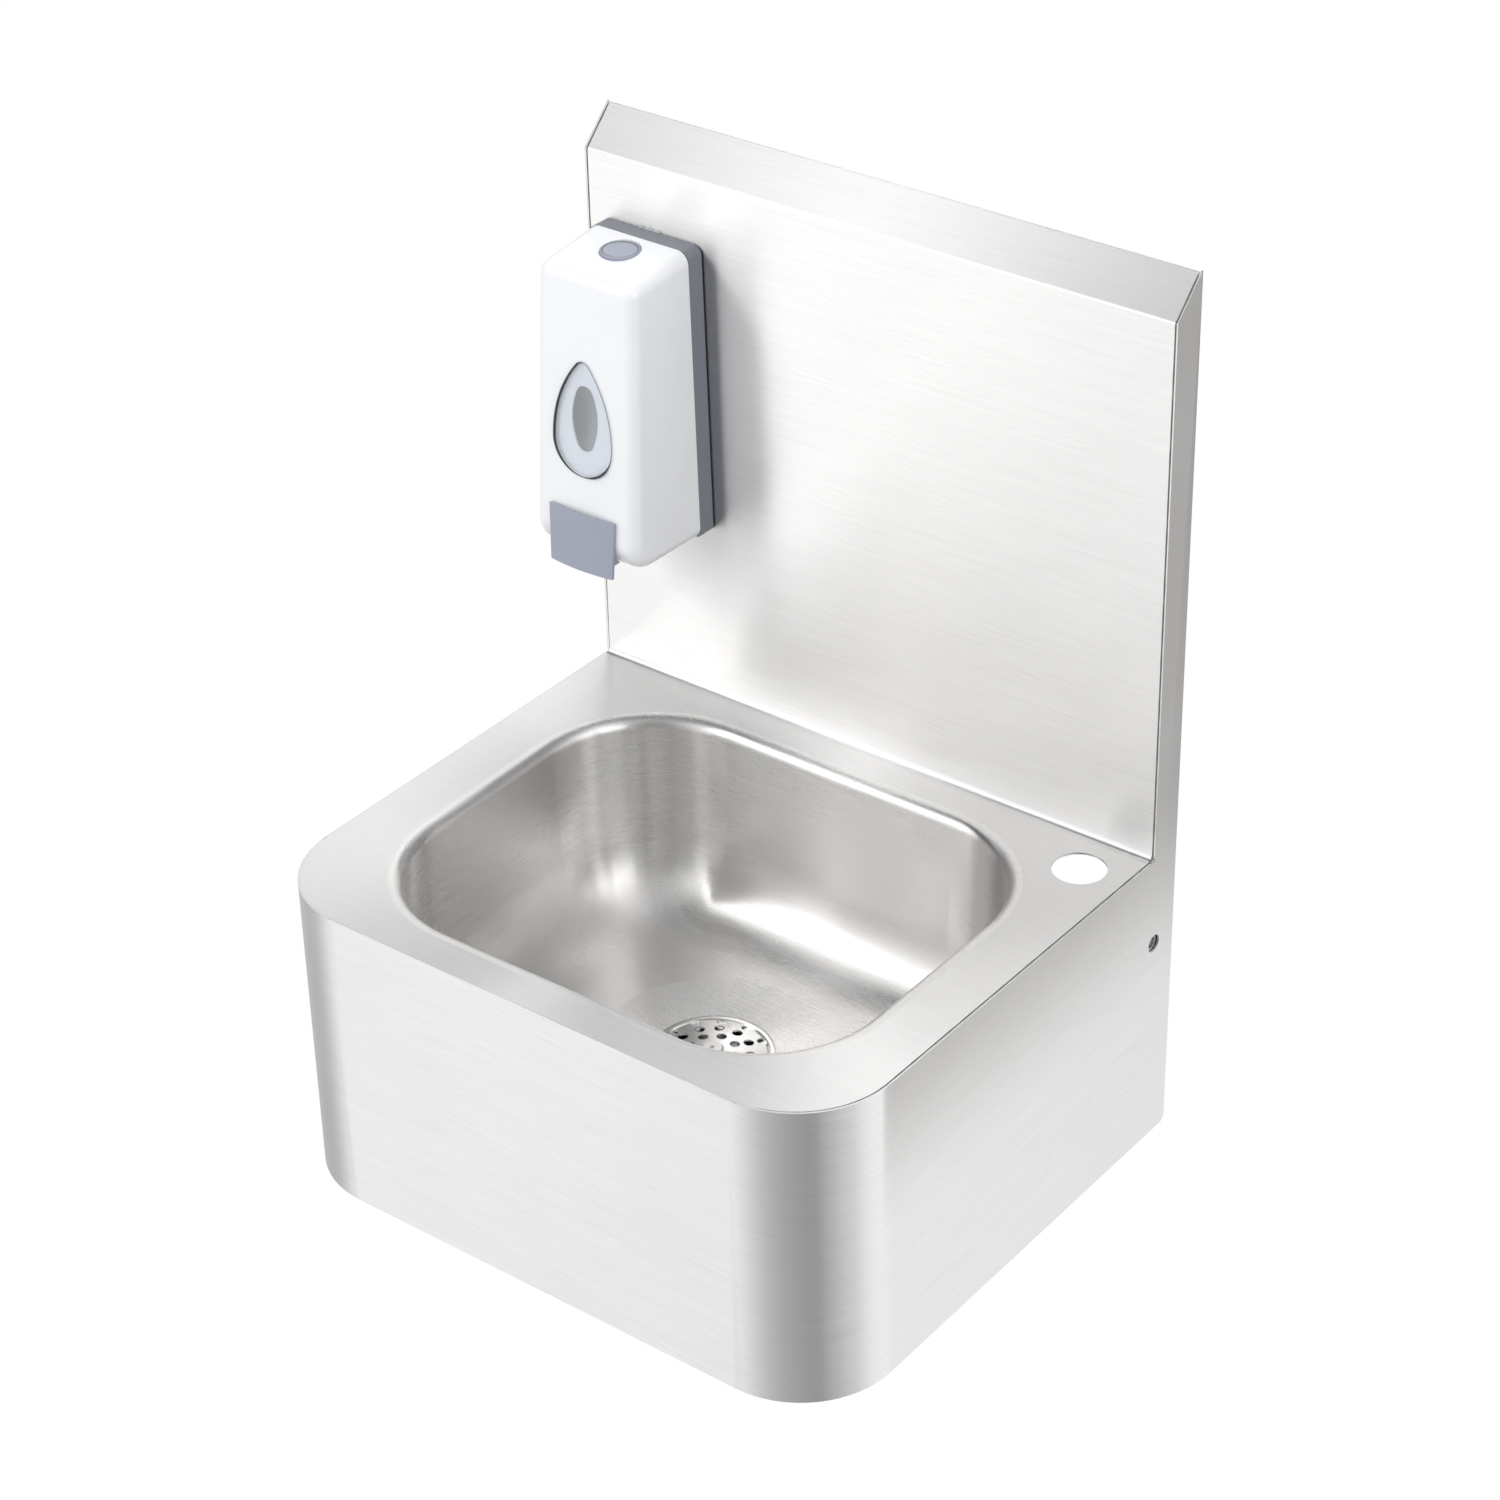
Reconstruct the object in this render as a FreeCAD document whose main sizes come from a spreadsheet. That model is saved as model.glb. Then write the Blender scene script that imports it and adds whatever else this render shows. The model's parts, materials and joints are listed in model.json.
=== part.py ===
import FreeCAD, Part
import math
import os

import Sketcher
from FreeCAD import Vector

# Wall-hung hand wash sink with a soap dispenser. Millimetres, +X to the right as seen from the front, +Y into
# the wall, +Z up. The origin is the middle of the wall bracket's two fixing holes, on the wall's face.

# ---------------------------------------------------------------- driving sizes
sizes = {
    # folded and welded body, measured from the wall and from the apron's lower edge
    "width": 400.0,
    "depth": 340.0,
    "deck_height": 198.0,
    "panel_rise": 336.0,         # deck to the fold below the sloping top
    "slope_rise": 22.0,          # fold to the top edge
    "panel_set": 22.5,           # wall to the face of the splashback
    "top_return": 15.0,          # lip that turns down against the wall
    "gauge": 1.2,                # sheet of the deck, splashback and apron
    "corner_radius": 61.0,
    "foot_bend": 4.0,            # inside radius between deck and splashback
    "fold_bend": 1.0,
    "heel_radius": 5.0,          # lower rear corner of each side sheet
    # bowl
    "bowl_side": 37.0,           # deck left beside the rim roll
    "bowl_front": 24.3,          # deck left in front of it
    "bowl_back": 47.7,           # wall to the rim roll
    "bowl_gauge": 1.0,
    "rim_corner": 81.0,
    "rim_roll": 7.0,
    "rim_flat": 2.0,             # flat edge outside the roll, welded into the deck
    "bowl_depth": 125.0,         # deck to the foot of the walls
    "bowl_draft": 4.0,           # each wall leans in by this much
    "floor_radius": 46.0,
    "floor_fall": 3.5,
    "fall_radius": 70.0,
    "drain_shift": 2.7,          # the waste's axis behind the middle of the bowl
    "tap_radius": 16.0,
    "tap_side": 30.7,            # side edge to the middle of the tap hole
    "tap_back": 53.5,
    # wall bracket and hanging rail
    "fixing_height": 112.0,
    "fixing_side": 80.0,         # side edge to the wall screw
    "fixing_radius": 4.5,
    "bracket_leg": 28.0,
    "bracket_gauge": 2.0,
    "bracket_step": 6.0,         # the upper lip stands this far off the wall
    "bracket_rise": 39.5,        # leg's lower edge to the top of the lip
    "tab_gap": 0.6,
    "tab_depth": 38.0,
    "tab_top": 152.0,
    "side_hole_back": 20.0,
    "side_hole_height": 139.6,
    "side_hole_radius": 5.5,
    "screw_way_radius": 3.6,
    "nut_core_radius": 3.4,
    "nut_flats": 13.0,
    "nut_thickness": 6.5,
    "rail_side": 85.0,           # side edge to the end of the hanging rail
    "rail_gauge": 1.5,
    "rail_set": 30.0,
    "rail_flange": 12.0,
    "rail_lip": 7.5,
    # waste
    "flange_radius": 36.5,
    "flange_thickness": 1.6,
    "recess_gap": 0.5,
    "neck_radius": 24.6,         # from the flange down to the foot of the back nut
    "tail_radius": 23.9,
    "tail_bore": 20.0,
    "tail_length": 54.0,         # top of the flange to the end of the tail
    "throat_depth": 12.0,
    "strainer_seat": 0.4,        # the strainer stands on a step this thick in the flange
    "upper_seal_thickness": 1.0,
    "lower_seal_thickness": 3.0,
    "seal_margin": 3.0,          # seals and washer end this far inside the flange's edge
    "washer_thickness": 1.5,
    "back_nut_radius": 34.0,
    "back_nut_thickness": 9.0,
    "back_nut_notch": 5.0,
    "ring_gap": 0.2,             # seals, washer and nut round the tail
    "bridge_width": 7.0,
    "bridge_depth": 6.0,
    "strainer_radius": 34.0,
    "strainer_gauge": 1.0,
    "strainer_crown": 2.5,
    "strainer_skirt": 1.6,
    "strainer_hole_radius": 3.1,
    "inner_ring_radius": 14.3,
    "middle_ring_radius": 22.7,
    "outer_ring_radius": 31.0,
    "inner_ring_turn": 15.0,     # degrees from the X axis to each ring's first hole
    "outer_ring_turn": 27.0,
    "screw_radius": 3.0,
    "screw_head_radius": 6.8,
    "screw_head_height": 1.6,
    "screw_socket": 1.7,
    # dispenser, from the foot of its back plate on the splashback's face
    "dispenser_side": 48.3,      # side edge to the dispenser's middle
    "dispenser_foot": 312.0,
    "mount_pad": 1.0,
    "plate_height": 183.0,
    "plate_foot": 78.6,
    "plate_head": 72.2,
    "plate_depth": 12.0,
    "plate_web": 2.5,
    "plate_wall": 2.2,
    "plate_corner": 6.0,
    "plate_hole_radius": 2.4,
    "cover_gap": 0.3,
    "cover_drop": 1.0,
    "cover_rise": 184.4,
    "cover_foot_depth": 60.7,
    "cover_head_depth": 49.6,
    "cover_top_fall": 5.0,
    "cover_draft": 1.4,
    "cover_wall": 2.2,
    "cover_edge": 8.0,
    "cover_toe": 18.0,
    "cover_brow": 7.0,
    "hinge_radius": 4.0,
    "hinge_pin_radius": 1.2,
    "run_gap": 0.05,             # radial running clearance of every pin in its hole
    "ear_gap": 0.5,
    "knuckle_length": 3.8,
    "shelf_depth": 18.0,
    "plate_hole_height": 30.0,
    "pad_margin": 12.0,
    "pad_breadth": 14.0,
    "catch_depth": 3.0,
    "catch_gap": 0.6,
    "slot_half": 21.0,
    "slot_top": 25.0,
    "window_radius": 21.5,
    "window_height": 75.5,
    "window_top": 126.0,
    "window_tip": 6.0,
    "window_side": 75.0,
    "sight_low": 76.0,
    "sight_high": 104.0,
    "sight_end": 6.5,
    "sight_side": 40.0,
    "window_edge": 0.25,
    "lens_thickness": 2.0,
    "lens_stand": 0.8,
    "button_radius": 12.0,
    "button_set": 29.5,
    "button_gap": 0.3,
    "button_stand": 0.6,
    "button_travel": 3.0,
    "button_flange": 1.6,
    "button_dish": 0.5,
    "tongue_half": 4.0,
    "tongue_end": 8.0,           # tongue's end stays this far from the panel
    "guide_radius": 14.0,
    "guide_wall": 2.0,
    "lever_half": 24.2,
    "lever_foot_half": 23.1,
    "lever_top": 31.5,
    "lever_bottom": -4.4,
    "lever_stand": 2.3,          # edges of the press plate proud of the cover
    "lever_crown": 2.0,
    "lever_gauge": 1.8,
    "lever_gap": 0.8,            # cheek to the cover's round toe
    "lever_web": 3.0,
    "lever_web_inner": 12.0,
    "lever_reach": 30.0,         # lever pin to the pump's axis
    "lever_pin_radius": 1.5,
    "lever_boss_radius": 5.0,
    "cheek_thickness": 1.5,
    "arm_drop": 1.0,
    "arm_height": 4.0,
    "arm_tip_radius": 3.0,
    # reservoir and pump
    "tank_foot": 52.0,
    "tank_height": 106.0,
    "tank_half": 30.0,
    "tank_depth": 50.0,
    "tank_wall": 1.8,
    "tank_edge": 6.0,
    "filler_radius": 14.0,
    "filler_rise": 6.0,
    "filler_set": 30.0,
    "cap_wall": 2.0,
    "cap_height": 8.0,
    "cap_rib_stand": 0.8,
    "outlet_radius": 12.0,
    "outlet_drop": 8.0,
    "chamber_radius": 8.5,
    "chamber_bore": 7.0,
    "chamber_rise": 26.0,
    "pump_flange": 2.0,
    "gasket_thickness": 1.5,
    "pump_nut_wall": 3.0,
    "pump_nut_floor": 2.5,
    "pump_nut_flute": 2.0,
    "stem_radius": 4.0,
    "stem_bore": 1.8,
    "lug_half": 17.0,
    "lug_breadth": 8.0,
    "lug_thickness": 3.0,
    "lug_gap": 0.15,             # lugs above the lever's round arm ends
    "nozzle_radius": 5.5,
    "nozzle_drop": 16.0,         # below the lugs
    "piston_height": 5.0,
    "piston_lift": 5.5,
    "inlet_ball_radius": 2.5,
    "inlet_seat_radius": 2.0,
    "pump_spring_radius": 6.6,
    "pump_spring_wire": 0.55,
    "button_spring_radius": 4.5,
    "button_spring_wire": 0.35,
}

doc = FreeCAD.newDocument("hand_wash_sink")
sheet = doc.addObject("Spreadsheet::Sheet", "Sizes")
for row, (alias, number) in enumerate(sizes.items(), start=1):
    sheet.set(f"A{row}", alias)
    sheet.set(f"B{row}", str(number))
    sheet.setAlias(f"B{row}", alias)
doc.recompute()


class Size:
    """A number kept together with the sheet expression that gives it."""

    def __init__(self, value, text):
        self.value = float(value)
        self.text = text

    def __add__(self, other):
        other = as_size(other)
        return Size(self.value + other.value, f"({self.text} + {other.text})")

    def __radd__(self, other):
        return as_size(other) + self

    def __sub__(self, other):
        other = as_size(other)
        return Size(self.value - other.value, f"({self.text} - {other.text})")

    def __rsub__(self, other):
        return as_size(other) - self

    def __mul__(self, other):
        other = as_size(other)
        return Size(self.value * other.value, f"({self.text} * {other.text})")

    def __rmul__(self, other):
        return as_size(other) * self

    def __truediv__(self, other):
        other = as_size(other)
        return Size(self.value / other.value, f"({self.text} / {other.text})")

    def __neg__(self):
        return Size(-self.value, f"(0 - {self.text})")

    def root(self):
        return Size(math.sqrt(self.value), f"sqrt({self.text})")

    def cosine(self):
        return Size(math.cos(math.radians(self.value)), f"cos({self.text} * 1 deg)")

    def sine(self):
        return Size(math.sin(math.radians(self.value)), f"sin({self.text} * 1 deg)")


def as_size(number):
    """A plain number as a Size, so that both kinds can be mixed."""
    return number if isinstance(number, Size) else Size(number, repr(float(number)))


class Dimensions:
    """Every cell of the sheet as a Size, under its alias."""

    def __init__(self, names):
        for name in names:
            setattr(self, name, Size(float(sheet.get(name)), f"Sizes.{name}"))


dim = Dimensions(sizes)

# ---------------------------------------------------------------- tools for bodies, sketches and features
PLANE_ROLES = {"plan": "XY_Plane", "front": "XZ_Plane", "side": "YZ_Plane"}
OVERCUT = 1.0                    # cutting outlines run this far past the piece
SAME = 0.02                      # lengths closer than this count as equal
EDGE_LENGTH = 0.5                # shorter edges are no corner of the sheet
parts = []
volumes = {}


def bind(thing, prop, size):
    """Tie one property to the sheet."""
    thing.setExpression(prop, as_size(size).text)


def place(thing, x, y, z):
    """Tie a piece's place in the row frame, whose origin is fixing_height above the apron's lower edge."""
    bind(thing, "Placement.Base.x", x)
    bind(thing, "Placement.Base.y", y)
    bind(thing, "Placement.Base.z", z - dim.fixing_height)


def new_body(label, x=0, y=0, z=0):
    body = doc.addObject("PartDesign::Body", label)
    body.Label = label
    place(body, x, y, as_size(z))
    parts.append(body)
    return body


def helper_body(label, x=0, y=0):
    """A body that is only combined with another one and is no piece of its own."""
    body = doc.addObject("PartDesign::Body", label)
    body.Label = label
    bind(body, "Placement.Base.x", x)
    bind(body, "Placement.Base.y", y)
    return body


def dispenser_body(label):
    """A body in the dispenser's own frame: foot of the back plate, on the splashback's face."""
    return new_body(label, dispenser_x, -dim.panel_set, dim.dispenser_foot)


def origin_feature(body, role):
    return next(feature for feature in body.Origin.OriginFeatures if feature.Role == role)


def new_sketch(body, plane, offset=0):
    """A sketch on one of the body's own planes, moved along that plane's normal by offset.

    plan looks down (+Z), front looks at the wall with its normal towards the user (-Y), side has normal +X.
    """
    sketch = body.newObject("Sketcher::SketchObject", f"{body.Label}_sketch")
    sketch.AttachmentSupport = [(origin_feature(body, PLANE_ROLES[plane]), "")]
    sketch.MapMode = "FlatFace"
    bind(sketch, "AttachmentOffset.Base.z", offset)
    return sketch


def hold(sketch, kind, *target):
    """Add one driving constraint tied to the sheet; its size is the last item of target."""
    size = as_size(target[-1])
    index = sketch.addConstraint(Sketcher.Constraint(kind, *target[:-1], size.value))
    sketch.setExpression(f"Constraints[{index}]", size.text)


def hold_point(sketch, edge, end, x, y):
    """Fix a point by its two distances from the sketch's origin."""
    hold(sketch, "DistanceX", -1, 1, edge, end, x)
    hold(sketch, "DistanceY", -1, 1, edge, end, y)


def outline(sketch, corners):
    """A closed run of edges through the corners.

    A corner is (x, y). Where the edge that leaves it is an arc of less than half a circle, it is
    (x, y, radius, turn), with turn "left" or "right" as the run goes round the arc.
    """
    first = sketch.GeometryCount
    ends = []
    for corner, following in zip(corners, corners[1:] + corners[:1]):
        here = Vector(as_size(corner[0]).value, as_size(corner[1]).value, 0)
        there = Vector(as_size(following[0]).value, as_size(following[1]).value, 0)
        if len(corner) == 2:
            sketch.addGeometry(Part.LineSegment(here, there), False)
            ends.append((1, 2))
            continue
        radius = as_size(corner[2]).value
        left = corner[3] == "left"
        start, finish = (here, there) if left else (there, here)
        chord = finish - start
        rise = math.sqrt(max(radius ** 2 - chord.Length ** 2 / 4, 0))
        centre = (start + finish) / 2 + Vector(-chord.y, chord.x, 0).normalize() * rise
        angles = [math.atan2(point.y - centre.y, point.x - centre.x) for point in (start, finish)]
        circle = Part.Circle(centre, Vector(0, 0, 1), radius)
        sketch.addGeometry(Part.ArcOfCircle(circle, *angles), False)
        ends.append((1, 2) if left else (2, 1))
    for i, corner in enumerate(corners):
        after = (i + 1) % len(corners)
        sketch.addConstraint(
            Sketcher.Constraint("Coincident", first + i, ends[i][1], first + after, ends[after][0])
        )
        hold_point(sketch, first + i, ends[i][0], corner[0], corner[1])
        if len(corner) == 4:
            hold(sketch, "Radius", first + i, corner[2])


def circle(sketch, x, y, radius):
    size = as_size(radius)
    centre = Vector(as_size(x).value, as_size(y).value, 0)
    edge = sketch.addGeometry(Part.Circle(centre, Vector(0, 0, 1), size.value), False)
    hold_point(sketch, edge, 3, x, y)
    hold(sketch, "Radius", edge, size)


def rectangle(sketch, left, bottom, right, top):
    outline(sketch, [(left, bottom), (right, bottom), (right, top), (left, top)])


def rounded_rectangle(sketch, half_x, half_y, radius, x=0, y=0):
    """A rectangle about (x, y) whose four corners are arcs."""
    inner_x = half_x - radius
    inner_y = half_y - radius
    corners = []
    for side, up, turn_first in ((1, -1, False), (1, 1, True), (-1, 1, False), (-1, -1, True)):
        ends = [(x + side * inner_x, y + up * half_y), (x + side * half_x, y + up * inner_y)]
        if turn_first:
            ends.reverse()
        corners.append((*ends[0], radius, "left"))
        corners.append(ends[1])
    outline(sketch, corners)


def finish_step(body, feature, removes):
    """Recompute and make sure that the feature changed the solid the right way."""
    doc.recompute()
    if "Invalid" in feature.State or "Error" in feature.State:
        raise RuntimeError(f"{body.Label}: {feature.Name} failed")
    after = feature.Shape.Volume
    if removes and not after < volumes[body.Name]:
        raise RuntimeError(f"{body.Label}: {feature.Name} removed nothing")
    volumes[body.Name] = after
    return feature


def pad(body, sketch, length, back=False):
    """Add material along the sketch's normal, or against it where back is set."""
    feature = body.newObject("PartDesign::Pad", f"{body.Label}_pad")
    feature.Profile = sketch
    bind(feature, "Length", length)
    feature.Reversed = back
    sketch.Visibility = False
    return finish_step(body, feature, removes=False)


def pocket(body, sketch, length, back=False):
    """Remove material against the sketch's normal, or along it where back is set."""
    feature = body.newObject("PartDesign::Pocket", f"{body.Label}_pocket")
    feature.Profile = sketch
    bind(feature, "Length", length)
    feature.Reversed = back
    return finish_step(body, feature, removes=True)


def revolve(body, sketch):
    """A full turn about the body's Z axis of a profile drawn on the side plane."""
    feature = body.newObject("PartDesign::Revolution", f"{body.Label}_revolution")
    feature.Profile = sketch
    feature.ReferenceAxis = (origin_feature(body, "Z_Axis"), [""])
    feature.Angle = 360
    return finish_step(body, feature, removes=False)


def loft(body, first, second, removes=False):
    kind = "SubtractiveLoft" if removes else "AdditiveLoft"
    feature = body.newObject(f"PartDesign::{kind}", f"{body.Label}_loft")
    feature.Profile = first
    feature.Sections = [second]
    feature.Ruled = True
    return finish_step(body, feature, removes=removes)


def combine(body, helper, kind):
    """Fuse the helper into the body, or cut it out; both are drawn in the same frame."""
    feature = body.newObject("PartDesign::Boolean", f"{body.Label}_{kind}")
    feature.Type = kind
    feature.setObjects([helper])
    return finish_step(body, feature, removes=kind == "Cut")


def edges_where(body, test):
    """Names of the tip's edges whose bounding box passes the test."""
    shape = body.Tip.Shape
    names = [f"Edge{i}" for i, edge in enumerate(shape.Edges, start=1) if test(edge.BoundBox)]
    if not names:
        raise RuntimeError(f"{body.Label}: no edge to work on")
    return names


def fillet(body, test, radius):
    base = body.Tip
    names = edges_where(body, test)
    feature = body.newObject("PartDesign::Fillet", f"{body.Label}_fillet")
    feature.Base = (base, names)
    bind(feature, "Radius", radius)
    return finish_step(body, feature, removes=False)


def mirror(body, originals):
    """The same features again on the other side of the body's YZ plane."""
    feature = body.newObject("PartDesign::Mirrored", f"{body.Label}_mirror")
    feature.Originals = originals
    feature.MirrorPlane = (origin_feature(body, "YZ_Plane"), [""])
    body.Tip = feature
    return finish_step(body, feature, removes=False)


def around(body, originals, count):
    """Copies of the features evenly round the body's Z axis."""
    feature = body.newObject("PartDesign::PolarPattern", f"{body.Label}_ring")
    feature.Originals = originals
    feature.Axis = (origin_feature(body, "Z_Axis"), [""])
    feature.Angle = 360
    feature.Occurrences = count
    body.Tip = feature
    return finish_step(body, feature, removes=False)


def near(a, b):
    return abs(a - as_size(b).value) < SAME


def level(box, z):
    """True for an edge that lies wholly at height z."""
    return near(box.ZMin, z) and near(box.ZMax, z)


def along_x(box, y, z):
    """True for a straight edge from side to side at y and z."""
    return near(box.YMin, y) and near(box.YMax, y) and level(box, z)


def upright(box):
    """True for an edge that only rises."""
    return box.ZLength > EDGE_LENGTH and near(box.XLength, 0)


# ---------------------------------------------------------------- sizes worked out from the driving ones
half_width = dim.width / 2
fold_height = dim.deck_height + dim.panel_rise
top_height = fold_height + dim.slope_rise
slope = dim.slope_rise / dim.panel_set
slope_slant = (slope * slope + 1).root()

rim_half_x = half_width - dim.bowl_side
rim_half_y = (dim.depth - dim.bowl_back - dim.bowl_front) / 2
bowl_middle = -(dim.bowl_back + rim_half_y)
drain_y = bowl_middle + dim.drain_shift
rail_half = half_width - dim.rail_side
dispenser_x = dim.dispenser_side - half_width
bowl_floor = dim.deck_height - dim.bowl_depth

plate_front = dim.mount_pad + dim.plate_depth
cover_back = plate_front + dim.cover_gap
cover_lean = (dim.cover_foot_depth - dim.cover_head_depth) / (dim.cover_rise - dim.cover_top_fall)
cover_slant = (cover_lean * cover_lean + 1).root()
cover_top_slope = dim.cover_top_fall / dim.cover_head_depth
cover_top = dim.cover_rise - dim.cover_drop
# the lever pin sits at the centre of the cover's round toe, so that the lever's cheeks turn round it
lever_pin_y = -(cover_back + dim.cover_foot_depth) + cover_lean * dim.cover_toe + dim.cover_toe * cover_slant
lever_pin_z = dim.cover_toe - dim.cover_drop
pump_y = lever_pin_y + dim.lever_reach
hinge_y = -(cover_back + dim.hinge_radius)
hinge_z = dim.hinge_radius - dim.cover_drop
outlet_end = dim.tank_foot - dim.outlet_drop
lug_foot = lever_pin_z + dim.lug_gap
drain_floor = bowl_floor - dim.floor_fall


def cover_front(z):
    """How far the cover's leaning front stands off the splashback at height z."""
    return -(cover_back + dim.cover_foot_depth) + cover_lean * (z + dim.cover_drop)


def cover_roof(y):
    """Height of the cover's sloping top at distance y from the splashback."""
    return cover_top + cover_top_slope * (y + cover_back)


# ---------------------------------------------------------------- sink body
def make_deck_splashback():
    """Deck, upright panel, sloping top and the lip against the wall, folded from one sheet."""
    body = new_body("deck_splashback")
    gauge = dim.gauge
    inset = gauge * slope_slant
    sheet_half = half_width - gauge
    front = -(dim.depth - gauge)
    panel = -dim.panel_set
    profile = new_sketch(body, "side", -sheet_half)
    outline(profile, [
        (front, dim.deck_height),
        (front, dim.deck_height - gauge),
        (panel + gauge, dim.deck_height - gauge),
        (panel + gauge, fold_height + slope * gauge - inset),
        (-gauge, top_height - slope * gauge - inset),
        (-gauge, top_height - dim.top_return),
        (0, top_height - dim.top_return),
        (0, top_height),
        (panel, fold_height),
        (panel, dim.deck_height),
    ])
    pad(body, profile, sheet_half * 2)
    fillet(body, lambda box: along_x(box, panel, dim.deck_height), dim.foot_bend)
    fillet(body, lambda box: along_x(box, panel + gauge, dim.deck_height - gauge), dim.foot_bend + gauge)
    fillet(
        body,
        lambda box: along_x(box, panel, fold_height) or along_x(box, 0, top_height),
        dim.fold_bend + gauge,
    )
    fillet(
        body,
        lambda box: along_x(box, panel + gauge, fold_height + slope * gauge - inset)
        or along_x(box, -gauge, top_height - slope * gauge - inset),
        dim.fold_bend,
    )
    fillet(
        body,
        lambda box: near(box.YMin, front) and near(box.YMax, front) and upright(box),
        dim.corner_radius - gauge,
    )
    cut_out = new_sketch(body, "plan", dim.deck_height)
    rounded_rectangle(
        cut_out,
        rim_half_x + dim.rim_flat,
        rim_half_y + dim.rim_flat,
        dim.rim_corner + dim.rim_flat,
        y=bowl_middle,
    )
    circle(cut_out, half_width - dim.tap_side, -dim.tap_back, dim.tap_radius)
    pocket(body, cut_out, gauge * 2)


def make_apron():
    """One sheet wrapped round the front, whose sides run up beside the splashback."""
    body = new_body("apron")
    gauge = dim.gauge
    corner = dim.corner_radius
    outer_x = half_width
    inner_x = half_width - gauge
    front = -dim.depth
    plan = new_sketch(body, "plan")
    outline(plan, [
        (-outer_x, 0),
        (-outer_x, front + corner, corner, "left"),
        (corner - outer_x, front),
        (outer_x - corner, front, corner, "left"),
        (outer_x, front + corner),
        (outer_x, 0),
        (inner_x, 0),
        (inner_x, front + corner, corner - gauge, "right"),
        (outer_x - corner, front + gauge),
        (corner - outer_x, front + gauge, corner - gauge, "right"),
        (-inner_x, front + corner),
        (-inner_x, 0),
    ])
    pad(body, plan, top_height)
    above = new_sketch(body, "side", outer_x + gauge)
    clear = dim.depth + gauge
    outline(above, [
        (-clear, dim.deck_height),
        (-dim.panel_set, dim.deck_height),
        (-dim.panel_set, fold_height),
        (0, top_height),
        (0, top_height + gauge),
        (-clear, top_height + gauge),
    ])
    pocket(body, above, dim.width + gauge * 2)
    fillet(body, lambda box: along_x(box, 0, 0), dim.heel_radius)
    holes = new_sketch(body, "side", outer_x + gauge)
    circle(holes, -dim.side_hole_back, dim.side_hole_height, dim.side_hole_radius)
    pocket(body, holes, dim.width + gauge * 2)


def make_bowl():
    """Pressed bowl: leaning walls, a large floor radius, a rolled rim and a fall to the waste."""
    body = new_body("bowl")
    wall = dim.bowl_gauge
    top = dim.deck_height
    roll = dim.rim_roll

    def section(owner, height, inset):
        """The bowl's outline at a height, drawn in from the rim roll by inset."""
        sketch = new_sketch(owner, "plan", height)
        corner = dim.rim_corner - inset
        rounded_rectangle(sketch, rim_half_x - inset, rim_half_y - inset, corner, y=bowl_middle)
        return sketch

    def inside_roll(box):
        """True for edges of the walls, which lie inside the rim's own outline."""
        limit = roll.value / 2
        middle = bowl_middle.value
        across = max(abs(box.XMin), abs(box.XMax)) < rim_half_x.value - limit
        along = max(abs(box.YMin - middle), abs(box.YMax - middle)) < rim_half_y.value - limit
        return across and along

    underside = bowl_floor - wall
    loft(body, section(body, top, roll - wall), section(body, underside, roll - wall + dim.bowl_draft))
    pad(body, section(body, top, -dim.rim_flat), wall, back=True)
    fillet(body, lambda box: level(box, top - wall) and inside_roll(box), roll - wall)
    fillet(body, lambda box: level(box, underside), dim.floor_radius + wall)

    space = helper_body("bowl_space")
    loft(space, section(space, top, roll), section(space, bowl_floor, roll + dim.bowl_draft))
    fillet(space, lambda box: level(box, bowl_floor), dim.floor_radius)
    combine(body, space, "Cut")
    fillet(body, lambda box: level(box, top) and inside_roll(box), roll)
    hole = new_sketch(body, "plan", bowl_floor)
    circle(hole, 0, drain_y, dim.fall_radius)
    pocket(body, hole, wall * 2)

    # the floor falls as a shallow cone to a stepped recess that takes the waste's flange
    recess = dim.flange_radius + dim.recess_gap
    ledge = drain_floor - dim.flange_thickness - dim.upper_seal_thickness
    cone = dim.fall_radius - recess
    tail_hole = dim.neck_radius + dim.ring_gap
    dish = helper_body("bowl_fall", 0, drain_y)
    profile = new_sketch(dish, "front")
    outline(profile, [
        (dim.fall_radius, bowl_floor),
        (recess, drain_floor),
        (recess, ledge),
        (tail_hole, ledge),
        (tail_hole, ledge - wall),
        (recess + wall, ledge - wall),
        (recess + wall, drain_floor - wall + wall * dim.floor_fall / cone),
        (dim.fall_radius, bowl_floor - wall),
    ])
    revolve(dish, profile)
    combine(body, dish, "Fuse")


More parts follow.
